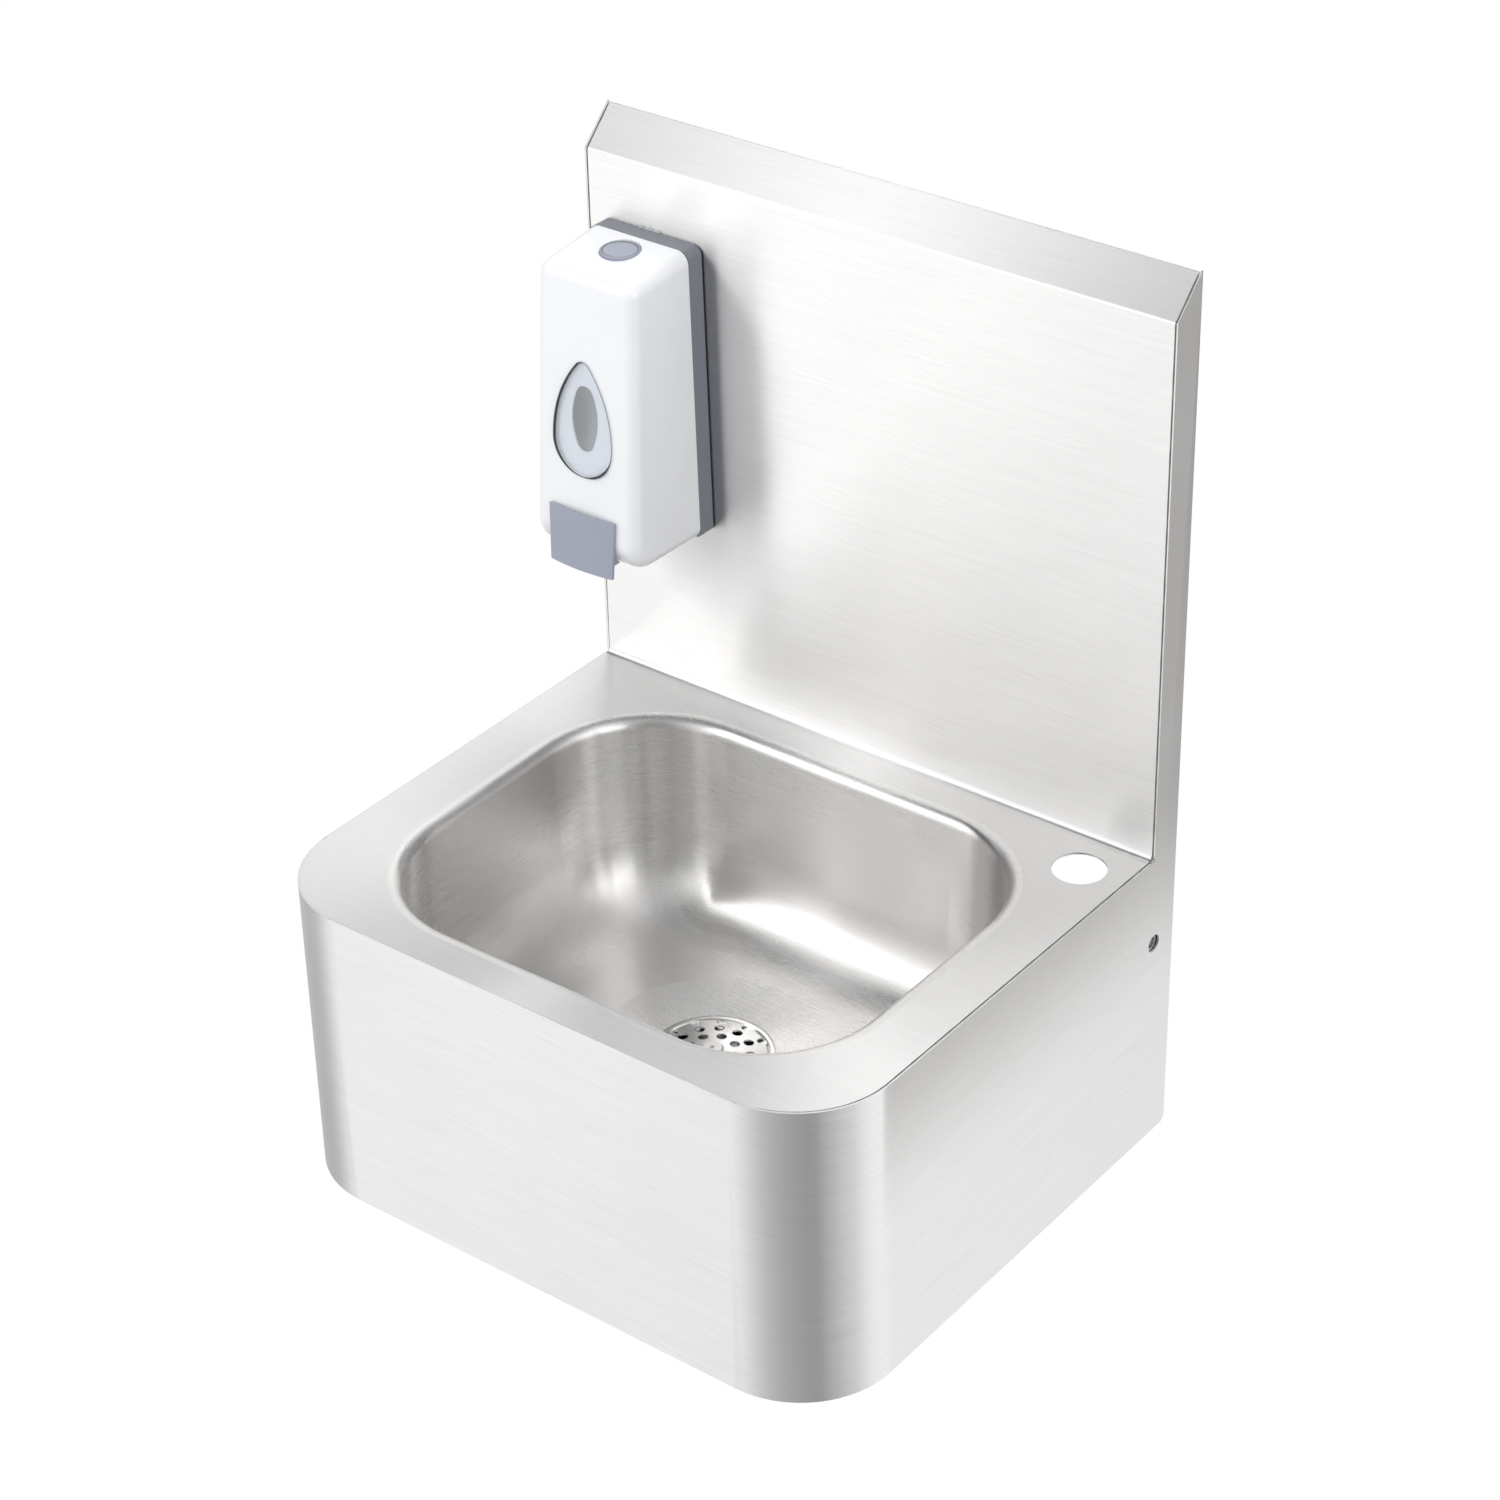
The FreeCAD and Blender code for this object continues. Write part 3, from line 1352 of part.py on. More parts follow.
def make_reservoir():
    """Blow-moulded bottle with a filler neck on the top and the pump's neck on the foot."""
    body = dispenser_body("reservoir")
    back = -(dim.mount_pad + dim.plate_web)
    front = back - dim.tank_depth
    wall = dim.tank_wall
    block = new_sketch(body, "plan", dim.tank_foot)
    rectangle(block, -dim.tank_half, front, dim.tank_half, back)
    pad(body, block, dim.tank_height)
    fillet(body, lambda box: near(box.ZLength, dim.tank_height), dim.tank_edge)
    fillet(body, lambda box: level(box, tank_top) or level(box, dim.tank_foot), dim.tank_edge / 2)
    filler = new_sketch(body, "plan", tank_top - wall)
    circle(filler, 0, filler_y, dim.filler_radius)
    pad(body, filler, dim.filler_rise + wall)
    outlet = new_sketch(body, "plan", dim.tank_foot + wall)
    circle(outlet, 0, pump_y, dim.outlet_radius)
    pad(body, outlet, dim.outlet_drop + wall, back=True)

    space = helper_body("reservoir_space")
    room = new_sketch(space, "plan", dim.tank_foot + wall)
    rectangle(room, -(dim.tank_half - wall), front + wall, dim.tank_half - wall, back - wall)
    pad(space, room, dim.tank_height - wall * 2)
    fillet(space, lambda box: near(box.ZLength, dim.tank_height - wall * 2), dim.tank_edge - wall)
    mouth = new_sketch(space, "plan", tank_top - wall * 2)
    circle(mouth, 0, filler_y, dim.filler_radius - wall)
    pad(space, mouth, dim.filler_rise + wall * 3)
    throat = new_sketch(space, "plan", dim.tank_foot + wall * 2)
    circle(throat, 0, pump_y, dim.chamber_radius + dim.ring_gap)
    pad(space, throat, dim.outlet_drop + wall * 3, back=True)
    combine(body, space, "Cut")


def make_filler_cap():
    """Ribbed quarter-turn cap on the filler neck."""
    body = new_body("filler_cap", dispenser_x, filler_y - dim.panel_set, dim.dispenser_foot)
    seat = tank_top + dim.filler_rise + dim.lug_gap
    top = seat + dim.cap_wall
    inner = dim.filler_radius + dim.cover_gap
    foot = top - dim.cap_height + dim.cap_wall
    profile = new_sketch(body, "front")
    outline(profile, [
        (0, seat),
        (inner, seat),
        (inner, foot),
        (inner + dim.cap_wall, foot),
        (inner + dim.cap_wall, top),
        (0, top),
    ])
    revolve(body, profile)
    rib = new_sketch(body, "plan", foot)
    half = dim.cap_wall / 2
    rectangle(rib, inner + half, -half, inner + dim.cap_wall + dim.cap_rib_stand, half)
    rib_pad = pad(body, rib, top - foot)
    around(body, [rib_pad], count=12)


def make_pump_body():
    """Chamber that hangs in the reservoir's outlet, with the inlet valve's cage at its top."""
    body = pump_part("pump_body")
    cage = dim.inlet_ball_radius + dim.ring_gap * 2
    lip = dim.inlet_seat_radius
    cage_foot = chamber_top - dim.inlet_ball_radius * 4
    lip_top = cage_foot + dim.pump_flange / 2
    profile = new_sketch(body, "front")
    outline(profile, [
        (dim.chamber_bore, flange_foot),
        (dim.outlet_radius, flange_foot),
        (dim.outlet_radius, flange_foot + dim.pump_flange),
        (dim.chamber_radius, flange_foot + dim.pump_flange),
        (dim.chamber_radius, chamber_top),
        (lip, chamber_top),
        (lip, chamber_top - dim.pump_flange),
        (cage, chamber_top - dim.pump_flange),
        (cage, lip_top),
        (lip, lip_top),
        (lip, cage_foot),
        (dim.chamber_bore, cage_foot),
    ])
    revolve(body, profile)

    ball = doc.addObject("Part::Sphere", "inlet_ball")
    ball.Label = "inlet_ball"
    bind(ball, "Radius", dim.inlet_ball_radius)
    seat = (dim.inlet_ball_radius * dim.inlet_ball_radius - lip * lip).root()
    place(ball, dispenser_x, pump_y - dim.panel_set, dim.dispenser_foot + lip_top + seat)
    parts.append(ball)


def make_pump_nut():
    """Union nut that clamps the pump's flange and its gasket against the reservoir's neck."""
    body = pump_part("pump_nut")
    outer = dim.outlet_radius + dim.pump_nut_wall
    top = dim.tank_foot - dim.ring_gap * 4
    profile = new_sketch(body, "front")
    outline(profile, [
        (dim.stem_radius + dim.run_gap, nut_foot),
        (outer, nut_foot),
        (outer, top),
        (dim.outlet_radius, top),
        (dim.outlet_radius, flange_foot),
        (dim.stem_radius + dim.run_gap, flange_foot),
    ])
    revolve(body, profile)
    flute = new_sketch(body, "plan", nut_foot)
    circle(flute, outer + dim.pump_nut_flute / 2, 0, dim.pump_nut_flute)
    cut = pocket(body, flute, top - nut_foot, back=True)
    around(body, [cut], count=12)

    gasket = pump_part("pump_gasket")
    ring = new_sketch(gasket, "plan", outlet_end)
    circle(ring, 0, 0, dim.outlet_radius)
    circle(ring, 0, 0, dim.chamber_radius)
    pad(gasket, ring, dim.gasket_thickness, back=True)


def make_pump_stem():
    """Hollow stem with the two lugs that the lever lifts, its piston seal and the nozzle on its lower end."""
    body = pump_part("pump_stem")
    stem_foot = lug_foot - dim.nozzle_drop / 2
    stem_top = piston_foot + dim.piston_height
    profile = new_sketch(body, "front")
    outline(profile, [
        (dim.stem_bore, stem_foot),
        (dim.stem_radius, stem_foot),
        (dim.stem_radius, stem_top),
        (dim.stem_bore, stem_top),
    ])
    revolve(body, profile)
    lugs = new_sketch(body, "plan", lug_foot)
    half = dim.lug_breadth / 2
    rectangle(lugs, -dim.lug_half, -half, dim.lug_half, half)
    circle(lugs, 0, 0, dim.stem_bore)
    pad(body, lugs, dim.lug_thickness)

    seal = pump_part("piston_seal")
    ring = new_sketch(seal, "plan", piston_foot)
    circle(ring, 0, 0, dim.chamber_bore - dim.run_gap)
    circle(ring, 0, 0, dim.stem_radius)
    pad(seal, ring, dim.piston_height)

    nozzle = pump_part("nozzle")
    outer = dim.nozzle_radius
    tip = lug_foot - dim.nozzle_drop
    spout = new_sketch(nozzle, "front")
    outline(spout, [
        (dim.stem_radius, lug_foot),
        (outer, lug_foot),
        (outer, stem_foot),
        (dim.stem_radius, tip),
        (dim.stem_bore, tip),
        (dim.stem_bore, stem_foot),
        (dim.stem_radius, stem_foot),
    ])
    revolve(nozzle, spout)


def make_spring(body, radius, wire, foot, height, turns):
    """A wire of six sides wound about the body's Z axis between two seats."""
    sketch = new_sketch(body, "side")
    middle = foot + wire
    half = wire / 2
    flat = wire * math.sqrt(3) / 2
    outline(sketch, [
        (radius + flat, middle - half),
        (radius + flat, middle + half),
        (radius, middle + wire),
        (radius - flat, middle + half),
        (radius - flat, middle - half),
        (radius, middle - wire),
    ])
    feature = body.newObject("PartDesign::AdditiveHelix", f"{body.Label}_coil")
    feature.Profile = sketch
    feature.ReferenceAxis = (origin_feature(body, "Z_Axis"), [""])
    feature.Mode = 2
    bind(feature, "Height", height - wire * 2)
    feature.Turns = turns
    finish_step(body, feature, removes=False)


def make_springs():
    coil = pump_part("pump_spring")
    make_spring(coil, dim.pump_spring_radius, dim.pump_spring_wire, lug_top, nut_foot - lug_top, turns=5)
    body = new_body("button_spring", dispenser_x, button_y - dim.panel_set, dim.dispenser_foot)
    room = cover_roof(button_y) + dim.button_stand - dim.guide_wall - guide_floor
    make_spring(body, dim.button_spring_radius, dim.button_spring_wire, guide_floor, room, turns=4)


make_deck_splashback()
make_apron()
make_bowl()
make_wall_bracket()
make_tab_nuts()
make_hanging_rail()
make_waste_body()
make_strainer()
make_strainer_screw()
make_waste_rings()
make_mounting_pads()
make_back_plate()
make_hinge_pins()
make_front_cover()
make_window()
make_button_guide()
make_lock_button()
make_press_lever()
make_lever_pin()
make_reservoir()
make_filler_cap()
make_pump_body()
make_pump_nut()
make_pump_stem()
make_springs()

# ---------------------------------------------------------------- checks and export
doc.recompute()
for thing in doc.Objects:
    if "Invalid" in thing.State or "Error" in thing.State:
        raise RuntimeError(f"{thing.Label} did not recompute: {thing.State}")

os.makedirs("parts", exist_ok=True)
for part in parts:
    shape = part.Shape
    if shape.isNull() or not shape.isValid() or shape.Volume <= 0:
        raise RuntimeError(f"{part.Label} has no valid solid")
    shape.exportStep(f"parts/{part.Label}.step")
    print(f"{part.Label}: {len(shape.Solids)} solid, {shape.Volume / 1000:.1f} cm3")
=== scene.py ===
import json
import math

import bmesh
import bpy
import numpy as np
from mathutils import Matrix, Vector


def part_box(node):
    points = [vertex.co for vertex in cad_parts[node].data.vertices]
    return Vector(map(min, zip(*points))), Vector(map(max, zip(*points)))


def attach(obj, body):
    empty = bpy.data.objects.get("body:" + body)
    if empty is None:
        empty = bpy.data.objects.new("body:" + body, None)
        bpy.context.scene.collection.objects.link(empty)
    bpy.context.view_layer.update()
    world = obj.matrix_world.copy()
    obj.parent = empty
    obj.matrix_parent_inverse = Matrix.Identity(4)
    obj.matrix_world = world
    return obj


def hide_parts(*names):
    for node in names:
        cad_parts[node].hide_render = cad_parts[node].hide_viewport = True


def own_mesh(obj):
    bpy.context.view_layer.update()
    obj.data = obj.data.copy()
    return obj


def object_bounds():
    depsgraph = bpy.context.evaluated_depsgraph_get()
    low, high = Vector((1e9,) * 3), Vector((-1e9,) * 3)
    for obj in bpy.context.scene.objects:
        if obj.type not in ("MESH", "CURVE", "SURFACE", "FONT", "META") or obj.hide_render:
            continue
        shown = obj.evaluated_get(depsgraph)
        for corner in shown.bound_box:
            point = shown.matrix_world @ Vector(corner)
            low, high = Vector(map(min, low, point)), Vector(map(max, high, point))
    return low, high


# Wall-hung hand wash sink with a soap dispenser. Metres, +Z up, +Y into the wall, origin between the wall
# bracket's two fixing holes.

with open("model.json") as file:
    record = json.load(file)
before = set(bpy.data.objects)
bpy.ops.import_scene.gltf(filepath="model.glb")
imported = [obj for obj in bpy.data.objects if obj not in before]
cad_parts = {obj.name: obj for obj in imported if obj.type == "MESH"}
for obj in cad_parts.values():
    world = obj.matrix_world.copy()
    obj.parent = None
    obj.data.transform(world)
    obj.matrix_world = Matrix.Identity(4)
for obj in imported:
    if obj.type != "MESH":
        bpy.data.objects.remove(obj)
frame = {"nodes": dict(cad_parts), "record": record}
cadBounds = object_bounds()
cadNodes = frame["nodes"]


def report(stage):
    print("scene:", stage)


report("frame loaded")

# camera: where the photograph was taken from
cameraLook = {
    "position": (1.134239, -1.580627, 1.307046),
    "right": (0.79393141, 0.60768474, -0.01980337),
    "up": (-0.31171756, 0.43478709, 0.84486233),
    "ahead": (-0.5220202, 0.66458968, -0.53461713),
    "lens": 92.24,
    "sensor": 36.0,
    "reach": 50.0,
}


def addCamera(look):
    data = bpy.data.cameras.new("camera")
    data.lens = look["lens"]
    data.sensor_width = look["sensor"]
    data.clip_end = look["reach"]
    camera = bpy.data.objects.new("camera", data)
    # the three directions above are rounded, so they are squared up, with their signs kept
    rounded = np.column_stack([look["right"], look["up"], -np.array(look["ahead"])])
    axes, _ = np.linalg.qr(rounded)
    axes *= np.sign(np.sum(axes * rounded, axis=0))
    turn = np.eye(4)
    turn[:3, :3] = axes
    turn[:3, 3] = look["position"]
    camera.matrix_world = Matrix(turn.tolist())
    bpy.context.scene.collection.objects.link(camera)
    bpy.context.scene.camera = camera


addCamera(cameraLook)
report("camera placed")


def feed(tree, entry, value):
    # a wire is linked to the socket; anything else becomes its fixed value, and a colour is made opaque
    if isinstance(value, Wire):
        tree.links.new(value.socket, entry)
    else:
        entry.default_value = (*value, 1.0) if entry.type == "RGBA" else value


# shader maths: a Wire is one socket, and arithmetic on it adds Math nodes
class Wire:
    def __init__(self, tree, socket):
        self.tree = tree
        self.socket = socket

    def math(self, operation, *values):
        node = self.tree.nodes.new("ShaderNodeMath")
        node.operation = operation
        for entry, value in zip(node.inputs, values):
            feed(self.tree, entry, value)
        return Wire(self.tree, node.outputs[0])

    def __add__(self, other):
        return self.math("ADD", self, other)

    def __radd__(self, other):
        return self.math("ADD", other, self)

    def __sub__(self, other):
        return self.math("SUBTRACT", self, other)

    def __rsub__(self, other):
        return self.math("SUBTRACT", other, self)

    def __mul__(self, other):
        return self.math("MULTIPLY", self, other)

    def __rmul__(self, other):
        return self.math("MULTIPLY", other, self)

    def __pow__(self, other):
        return self.math("POWER", self, other)

    def __rpow__(self, other):
        return self.math("POWER", other, self)

    def size(self):
        return self.math("ABSOLUTE", self)

    def clamp(self, low=0.0, high=1.0):
        return self.math("MINIMUM", self.math("MAXIMUM", self, low), high)

    def step(self, low, high):
        # 0 below low, 1 above high, smooth between
        node = self.tree.nodes.new("ShaderNodeMapRange")
        node.interpolation_type = "SMOOTHSTEP"
        node.inputs["From Min"].default_value = low
        node.inputs["From Max"].default_value = high
        self.tree.links.new(self.socket, node.inputs["Value"])
        return Wire(self.tree, node.outputs["Result"])


class Look:
    # a node tree with one method for any node: its kind, its settings, the output that is wanted, and the
    # values or wires of its sockets, where i6 stands for input 6
    def __init__(self, name, world=False):
        self.block = bpy.data.worlds.new(name) if world else bpy.data.materials.new(name)
        self.block.use_nodes = True
        self.tree = self.block.node_tree
        self.tree.nodes.clear()

    def add(self, kind, settings=None, output=0, **sockets):
        node = self.tree.nodes.new(kind)
        for name, value in (settings or {}).items():
            setattr(node, name, value)
        for name, value in sockets.items():
            numbered = name[0] == "i" and name[1:].isdigit()
            feed(self.tree, node.inputs[int(name[1:]) if numbered else name.replace("_", " ")], value)
        return Wire(self.tree, node.outputs[output]) if node.outputs else None

    def objectPoint(self):
        return self.add("ShaderNodeTexCoord", output="Object")

    def axis(self, index):
        return self.add("ShaderNodeSeparateXYZ", output=index, Vector=self.objectPoint())

    def noise(self, scale, detail=2.0, rough=0.5):
        # noise on object coordinates that are stretched by a scale along each axis
        point = self.add("ShaderNodeMapping", Vector=self.objectPoint(), Scale=scale)
        return self.add("ShaderNodeTexNoise", Vector=point, Scale=1.0, Detail=detail, Roughness=rough)

    def cloud(self, scale, detail=3.0):
        return self.noise((scale, scale, scale), detail)

    def mixColour(self, share, first, second):
        return self.add("ShaderNodeMix", {"data_type": "RGBA"}, output=2, i0=share, i6=first, i7=second)

    def bump(self, height, strength, distance):
        return self.add("ShaderNodeBump", Height=height, Strength=strength, Distance=distance)

    def surface(self, **sockets):
        shader = self.add("ShaderNodeBsdfPrincipled", **sockets)
        self.add("ShaderNodeOutputMaterial", Surface=shader)
        return self.block


def grey(value, warm=0.0):
    return (value * (1 + warm), value, value * (1 - warm))


# brushed steel: grain stretched along one axis or two moves the tone, the roughness and a slight bump, and
# the anisotropy spreads each reflection across the grain
steelLook = {
    "fineGrain": 2600.0,
    "fineAlong": 30.0,
    "fineShare": 0.55,
    "streakGrain": 900.0,
    "streakAlong": 11.0,
    "grainContrast": 1.55,
    "cloud": 9.0,
    "tone": 0.80,
    "toneSpread": 0.08,
    "warm": 0.006,
    "rough": 0.36,
    "roughSpread": 0.10,
    "roughCloud": 0.06,
    "roughLimits": (0.05, 0.9),
    "crossGrain": 1.0,
    "crossTurn": 0.25,
    "bumpHeight": 0.00003,
    "bumpStrength": 0.22,
}

# the apron has painted shade on the outside of its two tall side strips, a darker tone standing in for the
# darker reflection there: tintSide is how far out that is, and tintSpan the heights between which it sets in
wrapLook = {
    **steelLook,
    "stripShade": 0.44,
    "tintWarm": 0.02,
    "tintCloud": 0.3,
    "tintSide": (0.19955, 0.1999),
    "tintSpan": (-0.02, 0.14),
}

# the bowl's floor, up to floorTop, is painted lighter than its walls, painted light for the light that falls
# on it, and the grain of its floor and rim runs along
# X only
bowlLook = {
    **steelLook,
    "tone": 0.745,
    "warm": 0.012,
    "rough": 0.28,
    "toneSpread": 0.065,
    "roughSpread": 0.05,
    "grainContrast": 1.5,
    "fineAlong": 55.0,
    "streakAlong": 22.0,
    "bumpStrength": 0.10,
    "floorTop": -0.012,
    "floorBlend": 0.012,
    "floorLitTone": 0.90,
    "floorGrain": 0.4,
    "rimSpan": (0.078, 0.084),
}


def grainOf(steel, look, along):
    # noise drawn out along the listed axes: fine lines, and longer streaks
    fineScale = tuple(look["fineAlong"] if axis in along else look["fineGrain"] for axis in range(3))
    streakScale = tuple(look["streakAlong"] if axis in along else look["streakGrain"] for axis in range(3))
    fine = steel.noise(fineScale, detail=3.0)
    streak = steel.noise(streakScale, detail=4.0, rough=0.6)
    both = fine * look["fineShare"] + streak * (1 - look["fineShare"])
    return ((both - 0.5) * look["grainContrast"] + 0.5).clamp()


def brushedSteel(name, look, along=(0,)):
    # along lists the axes that the grain runs in
    steel = Look(name)
    grain = grainOf(steel, look, along)
    height = steel.axis(2)
    cloud = steel.cloud(look["cloud"])
    if "floorTop" in look:
        floor = 1 - height.step(look["floorTop"] - look["floorBlend"], look["floorTop"])
        wall = (1 - floor) * (1 - height.step(*look["rimSpan"]))
        grain = grain * wall + grainOf(steel, look, (0,)) * (1 - wall)
    low = grey(look["tone"] - look["toneSpread"], look["warm"])
    high = grey(look["tone"] + look["toneSpread"], look["warm"])
    tone = steel.mixColour(grain, low, high)
    # painted light: the bowl's floor is given a lighter tone than its walls
    if "floorTop" in look:
        share = floor * (grain * look["floorGrain"] + (1 - look["floorGrain"]))
        tone = steel.mixColour(share, tone, grey(look["floorLitTone"], look["warm"]))
    # painted shade: the outside of the apron's tall side strips is darkened, from tintSpan up
    if "stripShade" in look:
        side = steel.axis(0).size().step(*look["tintSide"])
        share = side * height.step(*look["tintSpan"]) * ((cloud - 0.5) * look["tintCloud"] + 1)
        tone = steel.mixColour(share.clamp(), tone, grey(look["stripShade"], look["tintWarm"]))
    rough = (grain - 0.5) * look["roughSpread"] + (cloud - 0.5) * look["roughCloud"] + look["rough"]
    return steel.surface(
        Base_Color=tone,
        Metallic=1.0,
        Roughness=rough.clamp(*look["roughLimits"]),
        Anisotropic=look["crossGrain"],
        Anisotropic_Rotation=look["crossTurn"],
        Normal=steel.bump(grain, look["bumpStrength"], look["bumpHeight"]),
    )


# moulded plastic: an even tone with a faint cloud, and a fine spark-eroded grain
mouldLook = {
    "cloud": 30.0,
    "shade": 0.94,
    "grain": 2600.0,
    "roughCloud": 0.06,
    "roughGrain": 0.05,
    "bumpStrength": 0.15,
    "bumpHeight": 0.00003,
}


def plastic(name, colour, rough=0.35, grain=0.0, coat=0.0):
    # grain is added to the strength of the bump
    paint = Look(name)
    cloud = paint.cloud(mouldLook["cloud"])
    fine = paint.cloud(mouldLook["grain"], detail=2.0)
    shade = tuple(part * mouldLook["shade"] for part in colour)
    return paint.surface(
        Base_Color=paint.mixColour(cloud, shade, colour),
        Roughness=(cloud - 0.5) * mouldLook["roughCloud"] + (fine - 0.5) * mouldLook["roughGrain"] + rough,
        Coat_Weight=coat,
        Normal=paint.bump(fine, mouldLook["bumpStrength"] + grain, mouldLook["bumpHeight"]),
    )


# thin clear plastic: light goes straight through, and the surface mirrors more towards its edges
clearLook = {
    "cloud": 60.0,
    "shade": 0.96,
    "rough": 0.07,
    "roughCloud": 0.04,
    "edgeBlend": 0.35,
    "edgeShare": 0.55,
}


def clearMoulding(name, tint, sheen):
    # sheen is the share of the surface that mirrors where it is seen straight on
    paint = Look(name)
    cloud = paint.cloud(clearLook["cloud"], detail=2.0)
    shade = tuple(part * clearLook["shade"] for part in tint)
    gloss = paint.add(
        "ShaderNodeBsdfPrincipled",
        Base_Color=paint.mixColour(cloud, shade, tint),
        Roughness=(cloud - 0.5) * clearLook["roughCloud"] + clearLook["rough"],
    )
    clear = paint.add("ShaderNodeBsdfTransparent", Color=tint)
    edge = paint.add("ShaderNodeLayerWeight", output=1, Blend=clearLook["edgeBlend"])
    share = (edge * clearLook["edgeShare"] + sheen).clamp()
    body = paint.add("ShaderNodeMixShader", i0=share, i1=clear, i2=gloss)
    paint.add("ShaderNodeOutputMaterial", Surface=body)
    return paint.block


wasteLook = {**steelLook, "rough": 0.17, "toneSpread": 0.03, "crossGrain": 0.0, "bumpStrength": 0.05}
sheetSteel = brushedSteel("brushedSheet", {**steelLook, "tone": 0.83})
wrapSteel = brushedSteel("brushedWrap", wrapLook, along=(0, 1))
bowlSteel = brushedSteel("bowlSatin", bowlLook, along=(0, 1))
wasteSteel = brushedSteel("wastePolished", wasteLook)
bracketSteel = brushedSteel("millSteel", {**steelLook, "tone": 0.60, "rough": 0.40, "crossGrain": 0.3})
pinSteel = brushedSteel("drawnSteel", {**steelLook, "tone": 0.66, "rough": 0.24, "crossGrain": 0.3})
coverWhite = plastic("coverWhite", (0.90, 0.912, 0.935), rough=0.22, coat=0.3)
plateGrey = plastic("plateGrey", (0.215, 0.228, 0.262), rough=0.42, grain=0.15)
leverGrey = plastic("leverGrey", (0.345, 0.370, 0.455), rough=0.36, grain=0.1)
ringPale = plastic("ringPale", (0.83, 0.86, 0.91), rough=0.4)
# painted shade: the dark tube round the window lens's edge
paintedRimShade = plastic("paintedRimShade", (0.035, 0.04, 0.055), rough=0.14)
# painted shade: the dark colour of the weld lines, standing in for the shaded gap along each joint
seamShadeDark = plastic("seamShadeDark", (0.13, 0.125, 0.12), rough=0.5, grain=0.3)
tankMilky = plastic("tankMilky", (0.62, 0.64, 0.66))
pumpWhite = plastic("pumpWhite", (0.74, 0.76, 0.78))
nutWhite = plastic("nutWhite", (0.78, 0.78, 0.76), rough=0.45)
sealBlack = plastic("sealBlack", (0.02, 0.02, 0.02), rough=0.6)
padClear = clearMoulding("padClear", (0.86, 0.89, 0.90), 0.30)
lensClear = clearMoulding("lensClear", (0.965, 0.975, 0.985), 0.045)

finishes = {
    "sheet_steel": sheetSteel,
    "bowl_steel": bowlSteel,
    "waste_steel": wasteSteel,
    "bracket_steel": bracketSteel,
    "pin_steel": pinSteel,
    "seal_rubber": sealBlack,
    "nut_plastic": nutWhite,
    "cover_plastic": coverWhite,
    "plate_plastic": plateGrey,
    "lever_plastic": leverGrey,
    "ring_plastic": ringPale,
    "lens_clear": lensClear,
    "tank_plastic": tankMilky,
    "pump_plastic": pumpWhite,
    "pad_foam": padClear,
}
for entry in frame["record"]["subparts"]:
    for slot in cadNodes[entry["node"]].material_slots:
        slot.material = finishes[entry["material_slot"]]
report("materials assigned")

# nodes whose faces are joined into one skin, so that roundings shade as one and outer edges can be eased
skinLook = {
    "joinWithin": 0.000002,
    "sharpAbove": 32.0,
    "evenWeight": 100,
}


def pointsOf(mesh):
    points = np.empty(len(mesh.vertices) * 3)
    mesh.vertices.foreach_get("co", points)
    return points.reshape(-1, 3)


def setPoints(mesh, points):
    mesh.vertices.foreach_set("co", points.reshape(-1))
    mesh.update()


def joinedCopy(node, name, look):
    # the node's own form as one skin: points within joinWithin are merged, and edges that turn by more than
    # sharpAbove degrees stay sharp
    mesh = cadNodes[node].data.copy()
    mesh.name = name
    skin = bmesh.new()
    skin.from_mesh(mesh)
    bmesh.ops.remove_doubles(skin, verts=skin.verts, dist=look["joinWithin"])
    skin.to_mesh(mesh)
    skin.free()
    if "custom_normal" in mesh.attributes:
        mesh.attributes.remove(mesh.attributes["custom_normal"])
    mesh.shade_smooth()
    mesh.set_sharp_from_angle(angle=math.radians(look["sharpAbove"]))
    piece = bpy.data.objects.new(name, mesh)
    bpy.context.scene.collection.objects.link(piece)
    return piece


def evenNormals(piece, look):
    even = piece.modifiers.new("evenNormals", "WEIGHTED_NORMAL")
    even.keep_sharp = True
    even.weight = look["evenWeight"]


def standIn(piece, node, body):
    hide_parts(node)
    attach(piece, body)
    return piece


# deck: its top bend is pressed tight, so that the sloping top runs up to the side sheets' corners
deckLook = {
    "bendMiddle": (-0.0022, 0.43877),
    "bendRadius": 0.0022,
    "tightMiddle": (-0.0005, 0.442812),
    "tightRadius": 0.0005,
    "within": 0.00004,
}


def makeDeckSkin(look):
    # points on the bend's outer round go to the same angle on the tight one: tight middle + offset from
    # the old middle * tight radius / bend radius
    piece = joinedCopy("deck_splashback", "deckSkin", skinLook)
    points = pointsOf(piece.data)
    offset = points[:, 1:] - np.array(look["bendMiddle"])
    outer = np.abs(np.hypot(offset[:, 0], offset[:, 1]) - look["bendRadius"]) < look["within"]
    tight = np.array(look["tightMiddle"]) + offset * look["tightRadius"] / look["bendRadius"]
    points[:, 1:] = np.where(outer[:, None], tight, points[:, 1:])
    setPoints(piece.data, points)
    evenNormals(piece, skinLook)
    standIn(piece, "deck_splashback", "sink")


makeDeckSkin(deckLook)


def makeCoverSkin():
    piece = joinedCopy("front_cover", "coverSkin", skinLook)
    evenNormals(piece, skinLook)
    standIn(piece, "front_cover", "cover")


makeCoverSkin()

# apron: its outer edges are eased, as ground after welding
apronLook = {
    "corner": 0.061,
    "outlineWithin": 0.00003,
    "rearClear": 0.002,
    "ease": 0.0010,
    "easeSteps": 3,
}


def outlineDistance(x, y, half, depth, corner):
    # distance outside a U-shaped outline with two round front corners: the length of what lies beyond the
    # inner rectangle, less the corner's radius
    across = np.abs(x) - (half - corner)
    along = -y - (depth - corner)
    beyond = np.hypot(np.maximum(across, 0), np.maximum(along, 0))
    return beyond + np.minimum(np.maximum(across, along), 0) - corner


